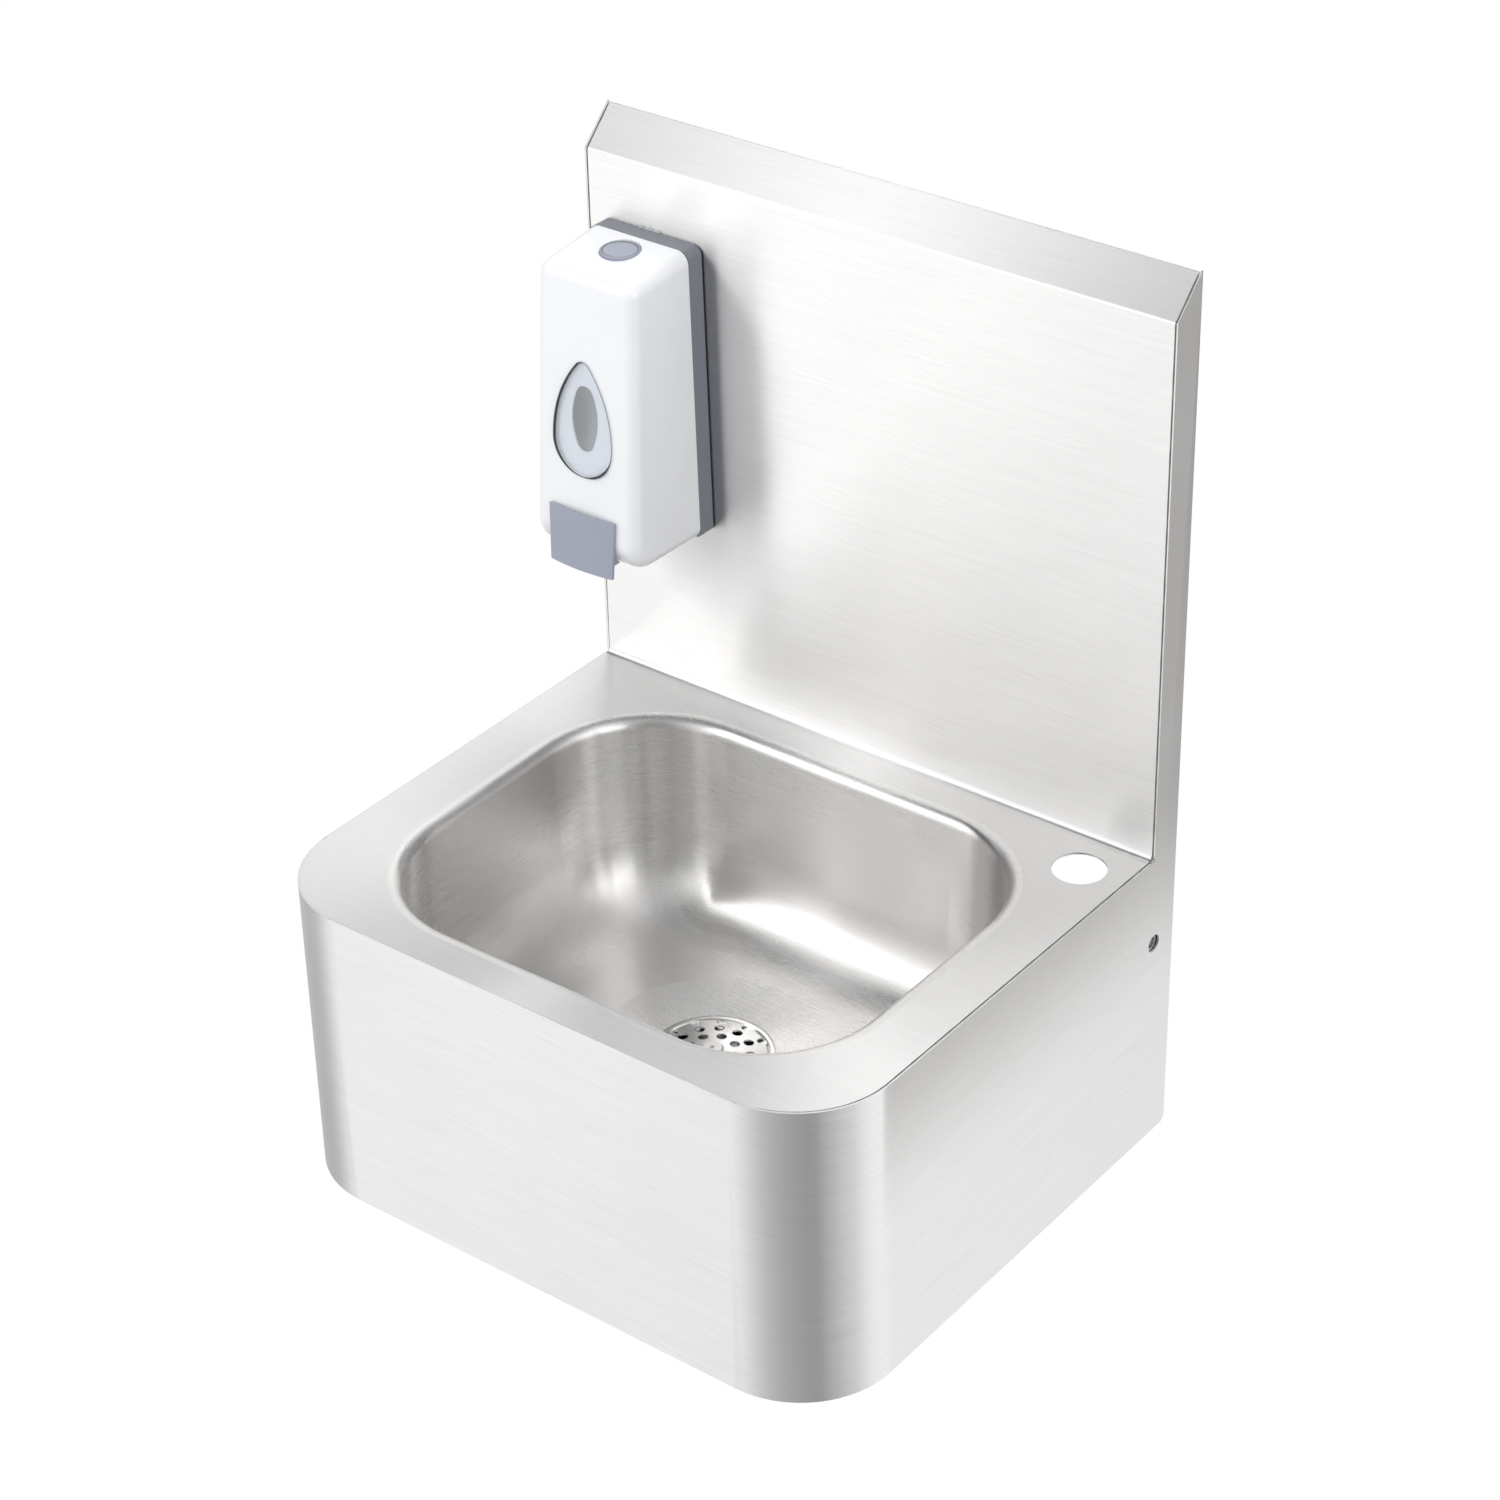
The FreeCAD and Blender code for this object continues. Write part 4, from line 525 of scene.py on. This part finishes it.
def edgeMiddles(mesh):
    # the middle of every edge, and whether the edge is a sharp one
    ends = np.empty(len(mesh.edges) * 2, dtype=np.int32)
    mesh.edges.foreach_get("vertices", ends)
    sharp = np.empty(len(mesh.edges), dtype=bool)
    mesh.edges.foreach_get("use_edge_sharp", sharp)
    return pointsOf(mesh)[ends.reshape(-1, 2)].mean(axis=1), sharp


def makeApronSkin(look):
    # sharp edges whose middle lies on the apron's outline, clear of its rear, get a bevel's full weight
    piece = joinedCopy("apron", "apronSkin", skinLook)
    mesh = piece.data
    low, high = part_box("apron")
    middles, sharp = edgeMiddles(mesh)
    gap = outlineDistance(middles[:, 0], middles[:, 1], (high[0] - low[0]) / 2, -low[1], look["corner"])
    picked = sharp & (np.abs(gap) < look["outlineWithin"]) & (middles[:, 1] < -look["rearClear"])
    weight = mesh.attributes.new("bevel_weight_edge", "FLOAT", "EDGE")
    weight.data.foreach_set("value", picked.astype(np.float32))
    ease = piece.modifiers.new("easedEdges", "BEVEL")
    ease.limit_method = "WEIGHT"
    ease.width = look["ease"]
    ease.segments = look["easeSteps"]
    ease.harden_normals = False
    evenNormals(piece, skinLook)
    mesh.materials.clear()
    mesh.materials.append(wrapSteel)
    standIn(piece, "apron", "sink")


makeApronSkin(apronLook)

# window lens: its back stands a hair clear of the ring, and its edges are eased. Its front plane goes
# through frontLow (y, z) and leans back by lean for each metre up.
lensLook = {
    "frontLow": (-0.09388, 0.25425),
    "lean": 0.0609,
    "backStep": 0.001,
    "clear": 0.00006,
    "ease": 0.0004,
    "easeSteps": 2,
}


def lensPlane(z):
    # y of the lens's front plane at a height
    return lensLook["frontLow"][0] + lensLook["lean"] * (z - lensLook["frontLow"][1])


def inFront(points):
    return points[:, 1] - lensPlane(points[:, 2]) <= lensLook["backStep"]


def makeLensSkin(look):
    piece = joinedCopy("window_lens", "lensSkin", skinLook)
    points = pointsOf(piece.data)
    points[:, 1] -= np.where(inFront(points), 0.0, look["clear"])
    setPoints(piece.data, points)
    ease = piece.modifiers.new("easedEdges", "BEVEL")
    ease.limit_method = "ANGLE"
    ease.width = look["ease"]
    ease.segments = look["easeSteps"]
    evenNormals(piece, skinLook)
    standIn(piece, "window_lens", "cover")
    return points


lensPoints = makeLensSkin(lensLook)

# the two springs are joined copies of their nodes, kept at full length: fixedEnd and movingEnd are the
# heights of their ends
springLook = {
    "pumpCoil": {
        "node": "pump_spring",
        "body": "sink",
        "joint": "pump_stroke",
        "fixedEnd": 0.2380,
        "movingEnd": 0.22015,
        "stroke": 0.0079,
    },
    "buttonCoil": {
        "node": "button_spring",
        "body": "cover",
        "joint": "lock_button_press",
        "fixedEnd": 0.37436,
        "movingEnd": 0.38037,
        "stroke": 0.0030,
    },
}


def makeSpring(name, look):
    coil = joinedCopy(look["node"], name, skinLook)
    standIn(coil, look["node"], look["body"])
    length = abs(look["movingEnd"] - look["fixedEnd"])
    1 - look["stroke"] / length
    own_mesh(coil)


for name, look in springLook.items():
    makeSpring(name, look)
report("skins joined")

# surfaces on a grid of two parameters
gridLook = {
    "pinchWithin": 0.0000005,
}


def gridPiece(name, points, material, closedU=False, closedV=False):
    # points is an array (rows, columns, 3); neighbouring rows and columns are joined by four-sided faces,
    # and points that fall together at a pole or a pinched end are merged
    rows, columns = points.shape[:2]
    i = np.arange(rows if closedU else rows - 1)[:, None]
    j = np.arange(columns if closedV else columns - 1)[None, :]
    nextI = (i + 1) % rows
    nextJ = (j + 1) % columns
    corners = [i * columns + j, nextI * columns + j, nextI * columns + nextJ, i * columns + nextJ]
    spread = [np.broadcast_to(corner, (i.size, j.size)) for corner in corners]
    faces = np.stack(spread, axis=-1).reshape(-1, 4)
    mesh = bpy.data.meshes.new(name)
    mesh.vertices.add(rows * columns)
    mesh.vertices.foreach_set("co", points.reshape(-1))
    mesh.loops.add(faces.size)
    mesh.loops.foreach_set("vertex_index", faces.reshape(-1).astype(np.int32))
    mesh.polygons.add(len(faces))
    mesh.polygons.foreach_set("loop_start", np.arange(0, faces.size, 4, dtype=np.int32))
    mesh.update(calc_edges=True)
    skin = bmesh.new()
    skin.from_mesh(mesh)
    bmesh.ops.remove_doubles(skin, verts=skin.verts, dist=gridLook["pinchWithin"])
    skin.to_mesh(mesh)
    skin.free()
    mesh.shade_smooth()
    mesh.materials.append(material)
    piece = bpy.data.objects.new(name, mesh)
    bpy.context.scene.collection.objects.link(piece)
    return piece


def fullTurn(count):
    # the angles of one full turn, as the columns of a grid
    return np.linspace(0, 2 * math.pi, count, endpoint=False)[None, :]


def lengthAlong(path):
    # the length walked from a path's start to each of its points
    return np.concatenate([[0], np.cumsum(np.linalg.norm(np.diff(path, axis=0), axis=1))])


def roundedLoop(halfX, halfY, corner, middleY, count):
    # a rectangle with round corners about (0, middleY), walked at an even pace: straights and quarter
    # circles are laid end to end by their lengths. Each point comes with its outward way and the length
    # walked to it.
    straightX = 2 * (halfX - corner)
    straightY = 2 * (halfY - corner)
    arc = corner * math.pi / 2
    lengths = np.array([straightX, arc, straightY, arc, straightX, arc, straightY, arc])
    starts = np.concatenate([[0], np.cumsum(lengths)])
    walk = np.linspace(0, starts[-1], count, endpoint=False)
    run = np.searchsorted(starts, walk, side="right") - 1
    along = walk - starts[run]
    quarter = run // 2
    heading = quarter * math.pi / 2
    turning = run % 2 == 1
    turned = np.where(turning, along / corner, 0.0)
    # each run starts where the one before ends, and the first goes along +X on the low Y side
    cornerX = (halfX - corner) * np.array([1, 1, -1, -1])[quarter]
    cornerY = (halfY - corner) * np.array([-1, 1, 1, -1])[quarter]
    radial = heading - math.pi / 2 + turned
    back = np.where(turning, 0.0, np.where(quarter % 2 == 0, straightX, straightY) - along)
    x = cornerX + corner * np.cos(radial) - back * np.cos(heading)
    y = cornerY + corner * np.sin(radial) - back * np.sin(heading)
    outward = np.stack([np.cos(radial), np.sin(radial), np.zeros(count)], axis=1)
    return np.stack([x, y + middleY, np.zeros(count)], axis=1), outward, walk


# weld under the deck, where the bowl's rim is joined in: a fillet bead with the scallops of each pool
bowlWeldLook = {
    "width": 0.0026,
    "height": 0.0014,
    "pool": 0.0024,
    "ripple": 0.16,
    "corner": 0.083,
    "rimThick": 0.0010,
    "gap": 0.0001,
    "around": 2400,
    "across": 7,
    "cloud": 180.0,
    "tintSpan": (0.35, 0.7),
    "straw": (0.62, 0.57, 0.50),
    "blue": (0.55, 0.57, 0.62),
    "rough": 0.32,
    "roughCloud": 0.2,
}


def weldFinish(look):
    # straw and blue heat tint clouds on a bright bead
    steel = Look("weldSteel")
    cloud = steel.cloud(look["cloud"])
    tone = steel.mixColour(cloud.step(*look["tintSpan"]), look["straw"], look["blue"])
    rough = (cloud - 0.5) * look["roughCloud"] + look["rough"]
    return steel.surface(Base_Color=tone, Metallic=1.0, Roughness=rough)


def makeBowlWeld(look):
    # points = path + outward * width * (1 / 2 - u) * (1 + half the ripple * scallop), and their height is
    # that of the rim's underside - gap - height * sin(pi * u) * (1 + ripple * scallop), with u over 0..1
    low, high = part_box("bowl")
    middleY = (low[1] + high[1]) / 2
    path, outward, walk = roundedLoop(
        (high[0] - low[0]) / 2, (high[1] - low[1]) / 2, look["corner"], middleY, look["around"])
    u = np.linspace(0, 1, look["across"])[None, :]
    scallop = np.abs(np.sin(walk / look["pool"] * math.pi))[:, None]
    drop = look["height"] * np.sin(math.pi * u) * (1 + look["ripple"] * scallop)
    out = look["width"] * (0.5 - u) * (1 + look["ripple"] / 2 * scallop)
    points = path[:, None, :] + outward[:, None, :] * out[..., None]
    points[..., 2] = high[2] - look["rimThick"] - look["gap"] - drop
    bead = gridPiece("bowlWeld", points[:, ::-1], weldFinish(look), closedU=True)
    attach(bead, "sink")


makeBowlWeld(bowlWeldLook)

# thread on the waste's tail below its back nut
tailThreadLook = {
    "root": 0.02395,
    "pitch": 0.00231,
    "depth": 0.0011,
    "roundness": 0.8,
    "endGap": 0.0015,
    "around": 120,
    "perPitch": 10,
}


def makeTailThread(look):
    # radius = root + depth * rounded wave of (height / pitch - turn / full circle), fading out at both ends
    low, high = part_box("waste_body")
    nutLow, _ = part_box("back_nut")
    foot = low[2] + look["endGap"]
    head = nutLow[2] - look["endGap"]
    rows = int((head - foot) / look["pitch"] * look["perPitch"])
    turn = fullTurn(look["around"])
    rise = np.linspace(foot, head, rows)[:, None]
    wave = 0.5 - 0.5 * np.cos(2 * math.pi * (rise / look["pitch"] - turn / (2 * math.pi)))
    ends = np.clip((rise - foot) / look["pitch"], 0, 1) * np.clip((head - rise) / look["pitch"], 0, 1)
    radius = look["root"] + look["depth"] * wave ** look["roundness"] * ends
    points = np.stack([
        (low[0] + high[0]) / 2 + radius * np.cos(turn),
        (low[1] + high[1]) / 2 + radius * np.sin(turn),
        np.broadcast_to(rise, radius.shape),
    ], axis=-1)
    thread = gridPiece("tailThread", points[::-1], wasteSteel, closedV=True)
    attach(thread, "sink")


makeTailThread(tailThreadLook)

# dished top of the lock button, with painted shade in a dark ring against its rim, where the gap round the
# button lies in shadow
buttonDishLook = {
    "axis": (-0.1517, -0.0520),
    "recess": 0.0005,
    "rise": 0.0004,
    "curve": 4,
    "rim": 0.0107,
    "lift": 0.00006,
    "around": 72,
    "rings": 14,
    "cloud": 220.0,
    "rimShadeWander": 0.0008,
    "rimShadeSpan": (0.0014, 0.0002),
    "dishTone": (0.36, 0.385, 0.47),
    "rimShadeTone": (0.10, 0.105, 0.125),
    "rough": 0.34,
    "roughCloud": 0.1,
}


def dishFinish(look):
    # plain tone out to a little inside the rim, then a dark ring of painted shade against the rim, by the
    # distance from the button's axis, which a cloud shifts
    paint = Look("dishGrey")
    cloud = paint.cloud(look["cloud"])
    x = paint.axis(0) - look["axis"][0]
    y = paint.axis(1) - look["axis"][1]
    reach = (x * x + y * y) ** 0.5 + (cloud - 0.5) * look["rimShadeWander"]
    starts, ends = (look["rim"] - inside for inside in look["rimShadeSpan"])
    tone = paint.mixColour(reach.step(starts, ends), look["dishTone"], look["rimShadeTone"])
    return paint.surface(Base_Color=tone, Roughness=(cloud - 0.5) * look["roughCloud"] + look["rough"])


def makeButtonDish(look):
    # height = recess floor + rise * (distance / rim) ^ curve: a saucer that ends just under the rim
    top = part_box("lock_button")[1][2]
    turn = fullTurn(look["around"])
    out = np.linspace(0, 1, look["rings"])[:, None]
    radius = out * look["rim"]
    height = top - look["recess"] + look["lift"] + look["rise"] * out ** look["curve"]
    points = np.stack([
        look["axis"][0] + radius * np.cos(turn),
        look["axis"][1] + radius * np.sin(turn),
        height + 0 * turn,
    ], axis=-1)
    dish = gridPiece("buttonDish", points, dishFinish(look), closedV=True)
    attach(dish, "button")


makeButtonDish(buttonDishLook)

# clear adhesive squeezed out over the top edge of the dispenser's plate
adhesiveLook = {
    "left": -0.1610,
    "right": -0.1450,
    "radius": 0.0009,
    "lift": 0.3,
    "wander": 0.40,
    "swells": 2.5,
    "ripple": 17.3,
    "rippleStart": 1.1,
    "pinch": 6,
    "along": 90,
    "round": 14,
}


def makeAdhesive(look):
    # a tube along X whose radius swells and thins: radius * (1 + wander * (sin(swells * full circle * u) +
    # sin(ripple * u + start) / 2)), pinched to a point at each end by the root of 1 - (2 u - 1) ^ pinch
    _, (_, plateRear, top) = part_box("back_plate")
    u = np.linspace(0, 1, look["along"])[:, None]
    x = look["left"] + (look["right"] - look["left"]) * u
    wave = np.sin(look["swells"] * 2 * math.pi * u) + 0.5 * np.sin(look["ripple"] * u + look["rippleStart"])
    pinched = np.sqrt(np.clip(1 - (2 * u - 1) ** look["pinch"], 0, 1))
    radius = look["radius"] * (1 + look["wander"] * wave) * pinched
    turn = fullTurn(look["round"])
    points = np.stack([
        x + 0 * turn,
        plateRear + radius * np.cos(turn),
        top + radius * look["lift"] + radius * np.sin(turn),
    ], axis=-1)
    bead = gridPiece("squeezedAdhesive", points, padClear, closedV=True)
    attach(bead, "sink")


makeAdhesive(adhesiveLook)

# dark tube round the window lens where it sits in the cover, painted shade for the dark refraction at the
# clear moulding's edge: thick on the left and in a short stretch low on the right
lensRimLook = {
    "thin": 0.00016,
    "thick": 0.00070,
    "lower": (0.6, -0.8),
    "lowerSharp": 10,
    "ways": 720,
    "around": 260,
    "round": 10,
}


def lensOutline(points, look):
    # seen from the front: for each direction the lens's point furthest that way, then an even walk round
    turn = fullTurn(look["ways"])[0]
    front = points[inFront(points)]
    far = np.argmax(front[:, [0, 2]] @ np.stack([np.cos(turn), np.sin(turn)]), axis=0)
    far = far[np.concatenate([[True], np.diff(far) != 0])]
    loop = front[np.concatenate([far, far[:1]])]
    walk = lengthAlong(loop)
    even = np.linspace(0, walk[-1], look["around"], endpoint=False)
    return np.stack([np.interp(even, walk, loop[:, axis]) for axis in range(3)], axis=1)


def makeLensRim(look):
    # a tube round the outline whose radius is thin + thick * (share of the outline's outward way that
    # points left, plus the share that points to lower, sharpened by a power)
    loop = lensOutline(lensPoints, look)
    along = np.roll(loop, -1, axis=0) - np.roll(loop, 1, axis=0)
    out = np.stack([along[:, 2], -along[:, 0]], axis=1)
    out /= np.linalg.norm(out, axis=1)[:, None]
    left = np.clip(-out[:, 0], 0, 1)
    lower = np.clip(out @ np.array(look["lower"]), 0, 1) ** look["lowerSharp"]
    radius = (look["thin"] + look["thick"] * np.clip(left + lower, 0, 1))[:, None]
    turn = fullTurn(look["round"])
    points = np.stack([
        loop[:, :1] + out[:, :1] * radius * np.cos(turn),
        loop[:, 1:2] - radius * np.sin(turn),
        loop[:, 2:3] + out[:, 1:] * radius * np.cos(turn),
    ], axis=-1)
    rim = gridPiece("lensRim", points, paintedRimShade, closedU=True, closedV=True)
    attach(rim, "cover")


makeLensRim(lensRimLook)

# hollow sight cup behind the oval opening of the window ring, with painted shade from dark at its left edge
# to lighter at its right, as lit from the left
sightCupLook = {
    "middle": (-0.1517, 0.2898),
    "half": (0.0104, 0.0245),
    "rimDepth": 0.00305,
    "depth": 0.0065,
    "curve": 2.5,
    "rings": 16,
    "around": 80,
    "cloud": 60.0,
    "cloudShare": 0.1,
    "shadeSpan": (-0.1600, -0.1450),
    "shadedLeftTone": (0.035, 0.036, 0.042),
    "litRightTone": (0.36, 0.39, 0.45),
    "rough": 0.4,
    "roughCloud": 0.1,
}


def cupFinish(look):
    paint = Look("cupGrey")
    cloud = paint.cloud(look["cloud"], detail=2.0)
    # painted shade and light: dark on the left, lighter on the right, by x
    place = paint.axis(0).step(*look["shadeSpan"])
    share = place * (1 - look["cloudShare"]) + (cloud - 0.5) * look["cloudShare"]
    tone = paint.mixColour(share.clamp(), look["shadedLeftTone"], look["litRightTone"])
    return paint.surface(Base_Color=tone, Roughness=(cloud - 0.5) * look["roughCloud"] + look["rough"])


def makeSightCup(look):
    # an oval bowl: depth behind the lens's front plane = rim depth + depth * (1 - r ^ curve), r from 0 to 1
    turn = fullTurn(look["around"])
    out = np.linspace(0, 1, look["rings"])[:, None]
    x = look["middle"][0] + look["half"][0] * out * np.cos(turn)
    z = look["middle"][1] + look["half"][1] * out * np.sin(turn)
    y = lensPlane(z) + look["rimDepth"] + look["depth"] * (1 - out ** look["curve"])
    cup = gridPiece("sightCup", np.stack([x, y, z], axis=-1), cupFinish(look), closedV=True)
    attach(cup, "cover")


makeSightCup(sightCupLook)

# weld line between the side sheets and the deck, panel and slope, on both sides, dark with painted shade of
# the gap along the joint. On the right it starts part way round the front corner, on the left in the fold
# between the deck and the panel.
seamLook = {
    "side": 0.1984,
    "halfWidth": 0.00055,
    "halfHeight": 0.00009,
    "wander": 0.12,
    "waves": (0.0031, 0.013),
    "frontShare": 0.35,
    "fullAfter": 0.09,
    "pinch": 200,
    "frontCorner": (0.1390, -0.2790),
    "cornerFrom": -75.0,
    "cornerSteps": 60,
    "foldMiddle": (-0.0265, 0.0900),
    "foldRadius": 0.0040,
    "foldSteps": 9,
    "leftFrom": -54.5,
    "topMiddle": (-0.0203, 0.42107),
    "topRadius": 0.0022,
    "topTo": 134.3,
    "topSteps": 5,
    "slopeEnd": (-0.00085, 0.44317),
    "steps": 300,
    "round": 12,
}


def arcPoints(middle, radius, start, end, steps):
    # middle + radius * (cos, sin) of an angle that goes from start to end, in degrees
    turn = np.radians(np.linspace(start, end, steps))[:, None]
    return np.array(middle) + radius * np.concatenate([np.cos(turn), np.sin(turn)], axis=1)


def seamProfile(look, foldFrom):
    # (y, z) round the fold from an angle, up the panel, round the top bend and up the slope
    fold = arcPoints(look["foldMiddle"], look["foldRadius"], foldFrom, 0, look["foldSteps"])
    top = arcPoints(look["topMiddle"], look["topRadius"], 180, look["topTo"], look["topSteps"])
    return np.concatenate([fold, top, [look["slopeEnd"]]])


def makeSeam(name, look, side):
    # an oval tube along the path: width runs level and square to it, height along the surface's normal,
    # both * (1 + wander * sin * sin), growing from frontShare to full size and pinched to a point at each end
    deckZ = look["foldMiddle"][1] - look["foldRadius"]
    angle = np.radians(np.linspace(look["cornerFrom"], 0, look["cornerSteps"]))[:, None]
    way = np.concatenate([np.cos(angle), np.sin(angle), 0 * angle], axis=1)
    bend = np.array([*look["frontCorner"], deckZ]) + (look["side"] - look["frontCorner"][0]) * way
    if side > 0:
        path = np.concatenate([[(look["frontCorner"][1], deckZ)], seamProfile(look, -90)])
    else:
        way, bend, path = way[:0], bend[:0], seamProfile(look, look["leftFrom"])
    walk = lengthAlong(path)
    even = np.unique(np.concatenate([walk, np.linspace(0, walk[-1], look["steps"])]))[1:]
    path = np.stack([np.interp(even, walk, path[:, axis]) for axis in range(2)], axis=1)
    along = np.gradient(path, axis=0)
    along /= np.linalg.norm(along, axis=1)[:, None]
    flat = np.zeros((len(path), 1))
    middle = np.concatenate([bend, np.hstack([flat + look["side"], path])])
    across = np.concatenate([way, np.hstack([flat + 1, flat, flat])])
    normal = np.concatenate([0 * way + (0, 0, 1), np.hstack([flat, -along[:, 1:], along[:, :1]])])
    run = lengthAlong(middle)
    swell = 1 + look["wander"] * np.sin(run / look["waves"][0]) * np.sin(run / look["waves"][1])
    swell *= look["frontShare"] + (1 - look["frontShare"]) * np.clip(run / look["fullAfter"], 0, 1)
    swell *= np.sqrt(np.clip(1 - np.abs(2 * run / run[-1] - 1) ** look["pinch"], 0, 1))
    turn = fullTurn(look["round"])[..., None]
    wide = look["halfWidth"] * swell[:, None, None] * np.cos(turn) * across[:, None, :]
    high = look["halfHeight"] * swell[:, None, None] * np.sin(turn) * normal[:, None, :]
    points = middle[:, None, :] + wide + high
    points[..., 0] *= side
    seam = gridPiece(name, points if side > 0 else points[:, ::-1], seamShadeDark, closedV=True)
    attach(seam, "sink")


makeSeam("seamRight", seamLook, 1)
makeSeam("seamLeft", seamLook, -1)
report("welds, thread, dish, adhesive and window pieces made")

# stage: white floor, a pale room whose mirrored level changes gently with direction, and two soft boxes
stageLook = {
    "floorDrop": 0.75,
    "floorSize": 9.0,
    "floorLitTone": 0.80,
    "litLevel": 0.95,
    "litRise": 0.25,
    "shineLevel": 0.716,
    "shineMost": 4.0,
    # broad panels and dark flags that the steel mirrors: degrees from the front to the right, degrees up
    "panels": [(-30, 20), (-30, 55), (-150, 55), (90, 20), (120, 20)],
    "panelGain": 0.90,
    "flags": [(60, -20), (30, 20), (-60, 20), (-90, 20), (-60, 55), (-90, 55), (-30, -55), (-180, -20)],
    "flagGain": -0.45,
    "broad": 8,
    # single glows and flags: the same two angles, sharpness, gain
    "glows": [
        (-142, 38, 10, 0.26),
        (-38, 28, 24, 0.90),
        (140, -36, 8, 0.38),
        (78, -32, 16, -0.42),
        (-54, 58, 9, -1.00),
        (-95, -25, 10, 0.18),
        (-30, -20, 8, 0.59),
        (30, 55, 8, -0.16),
    ],
    "softBoxes": {
        "keyBox": {"place": (-1.5, -1.6, 1.7), "aim": (-0.05, -0.1, 0.2), "size": 0.9, "power": 5.3},
        "fillBox": {"place": (2.0, -0.9, 0.9), "aim": (0.0, -0.05, 0.2), "size": 0.9, "power": 4.0},
    },
}


def addFloor(look):
    # white for the camera, clear for what the steel mirrors, and pale to all other light
    half = look["floorSize"] / 2
    z = cadBounds[0][2] - look["floorDrop"]
    mesh = bpy.data.meshes.new("floor")
    corners = [(-half, -half, z), (half, -half, z), (half, half, z), (-half, half, z)]
    mesh.from_pydata(corners, [], [(0, 1, 2, 3)])
    floor = bpy.data.objects.new("floor", mesh)
    bpy.context.scene.collection.objects.link(floor)
    paint = Look("floorPale")
    seen = paint.add("ShaderNodeLightPath", output="Is Camera Ray")
    shine = paint.add("ShaderNodeLightPath", output="Is Glossy Ray")
    matte = paint.add("ShaderNodeBsdfDiffuse", Color=grey(look["floorLitTone"]))
    white = paint.add("ShaderNodeEmission", Color=grey(1.0), Strength=1.0)
    clear = paint.add("ShaderNodeBsdfTransparent")
    ground = paint.add("ShaderNodeMixShader", i0=shine, i1=matte, i2=clear)
    both = paint.add("ShaderNodeMixShader", i0=seen, i1=ground, i2=white)
    paint.add("ShaderNodeOutputMaterial", Surface=both)
    mesh.materials.append(paint.block)


def addWorld(look):
    # mirrored level = shineLevel + the sum of each glow's gain * (cosine of the angle to it) ^ sharpness
    room = Look("room", world=True)
    bpy.context.scene.world = room.block
    point = room.add("ShaderNodeTexCoord", output="Generated")
    height = room.add("ShaderNodeSeparateXYZ", output=2, Vector=point)
    seen = room.add("ShaderNodeLightPath", output="Is Camera Ray")
    shine = room.add("ShaderNodeLightPath", output="Is Glossy Ray")
    panels = [(*place, look["broad"], look["panelGain"]) for place in look["panels"]]
    flags = [(*place, look["broad"], look["flagGain"]) for place in look["flags"]]
    mirrored = look["shineLevel"]
    for turn, lift, sharp, gain in panels + flags + look["glows"]:
        turn = math.radians(turn)
        lift = math.radians(lift)
        way = (math.sin(turn) * math.cos(lift), -math.cos(turn) * math.cos(lift), math.sin(lift))
        facing = room.add("ShaderNodeVectorMath", {"operation": "DOT_PRODUCT"}, output=1, i0=point, i1=way)
        mirrored = mirrored + facing.clamp() ** sharp * gain
    lit = height * look["litRise"] + look["litLevel"]
    level = mirrored.clamp(0.0, look["shineMost"]) * shine + lit * (1 - shine)
    light = room.add("ShaderNodeBackground", Color=grey(1.0), Strength=level * (1 - seen) + seen)
    room.add("ShaderNodeOutputWorld", Surface=light)


def addSoftBox(name, look):
    data = bpy.data.lights.new(name, "AREA")
    data.shape = "RECTANGLE"
    data.size = look["size"]
    data.size_y = look["size"]
    data.energy = look["power"]
    lamp = bpy.data.objects.new(name, data)
    away = np.array(look["place"]) - np.array(look["aim"])
    away /= np.linalg.norm(away)
    right = np.cross((0, 0, 1), away)
    right /= np.linalg.norm(right)
    turn = np.eye(4)
    turn[:3, :3] = np.column_stack([right, np.cross(away, right), away])
    turn[:3, 3] = look["place"]
    lamp.matrix_world = Matrix(turn.tolist())
    bpy.context.scene.collection.objects.link(lamp)


addFloor(stageLook)
addWorld(stageLook)
for name, look in stageLook["softBoxes"].items():
    addSoftBox(name, look)
bpy.context.scene.view_settings.view_transform = "Standard"
report("stage set")
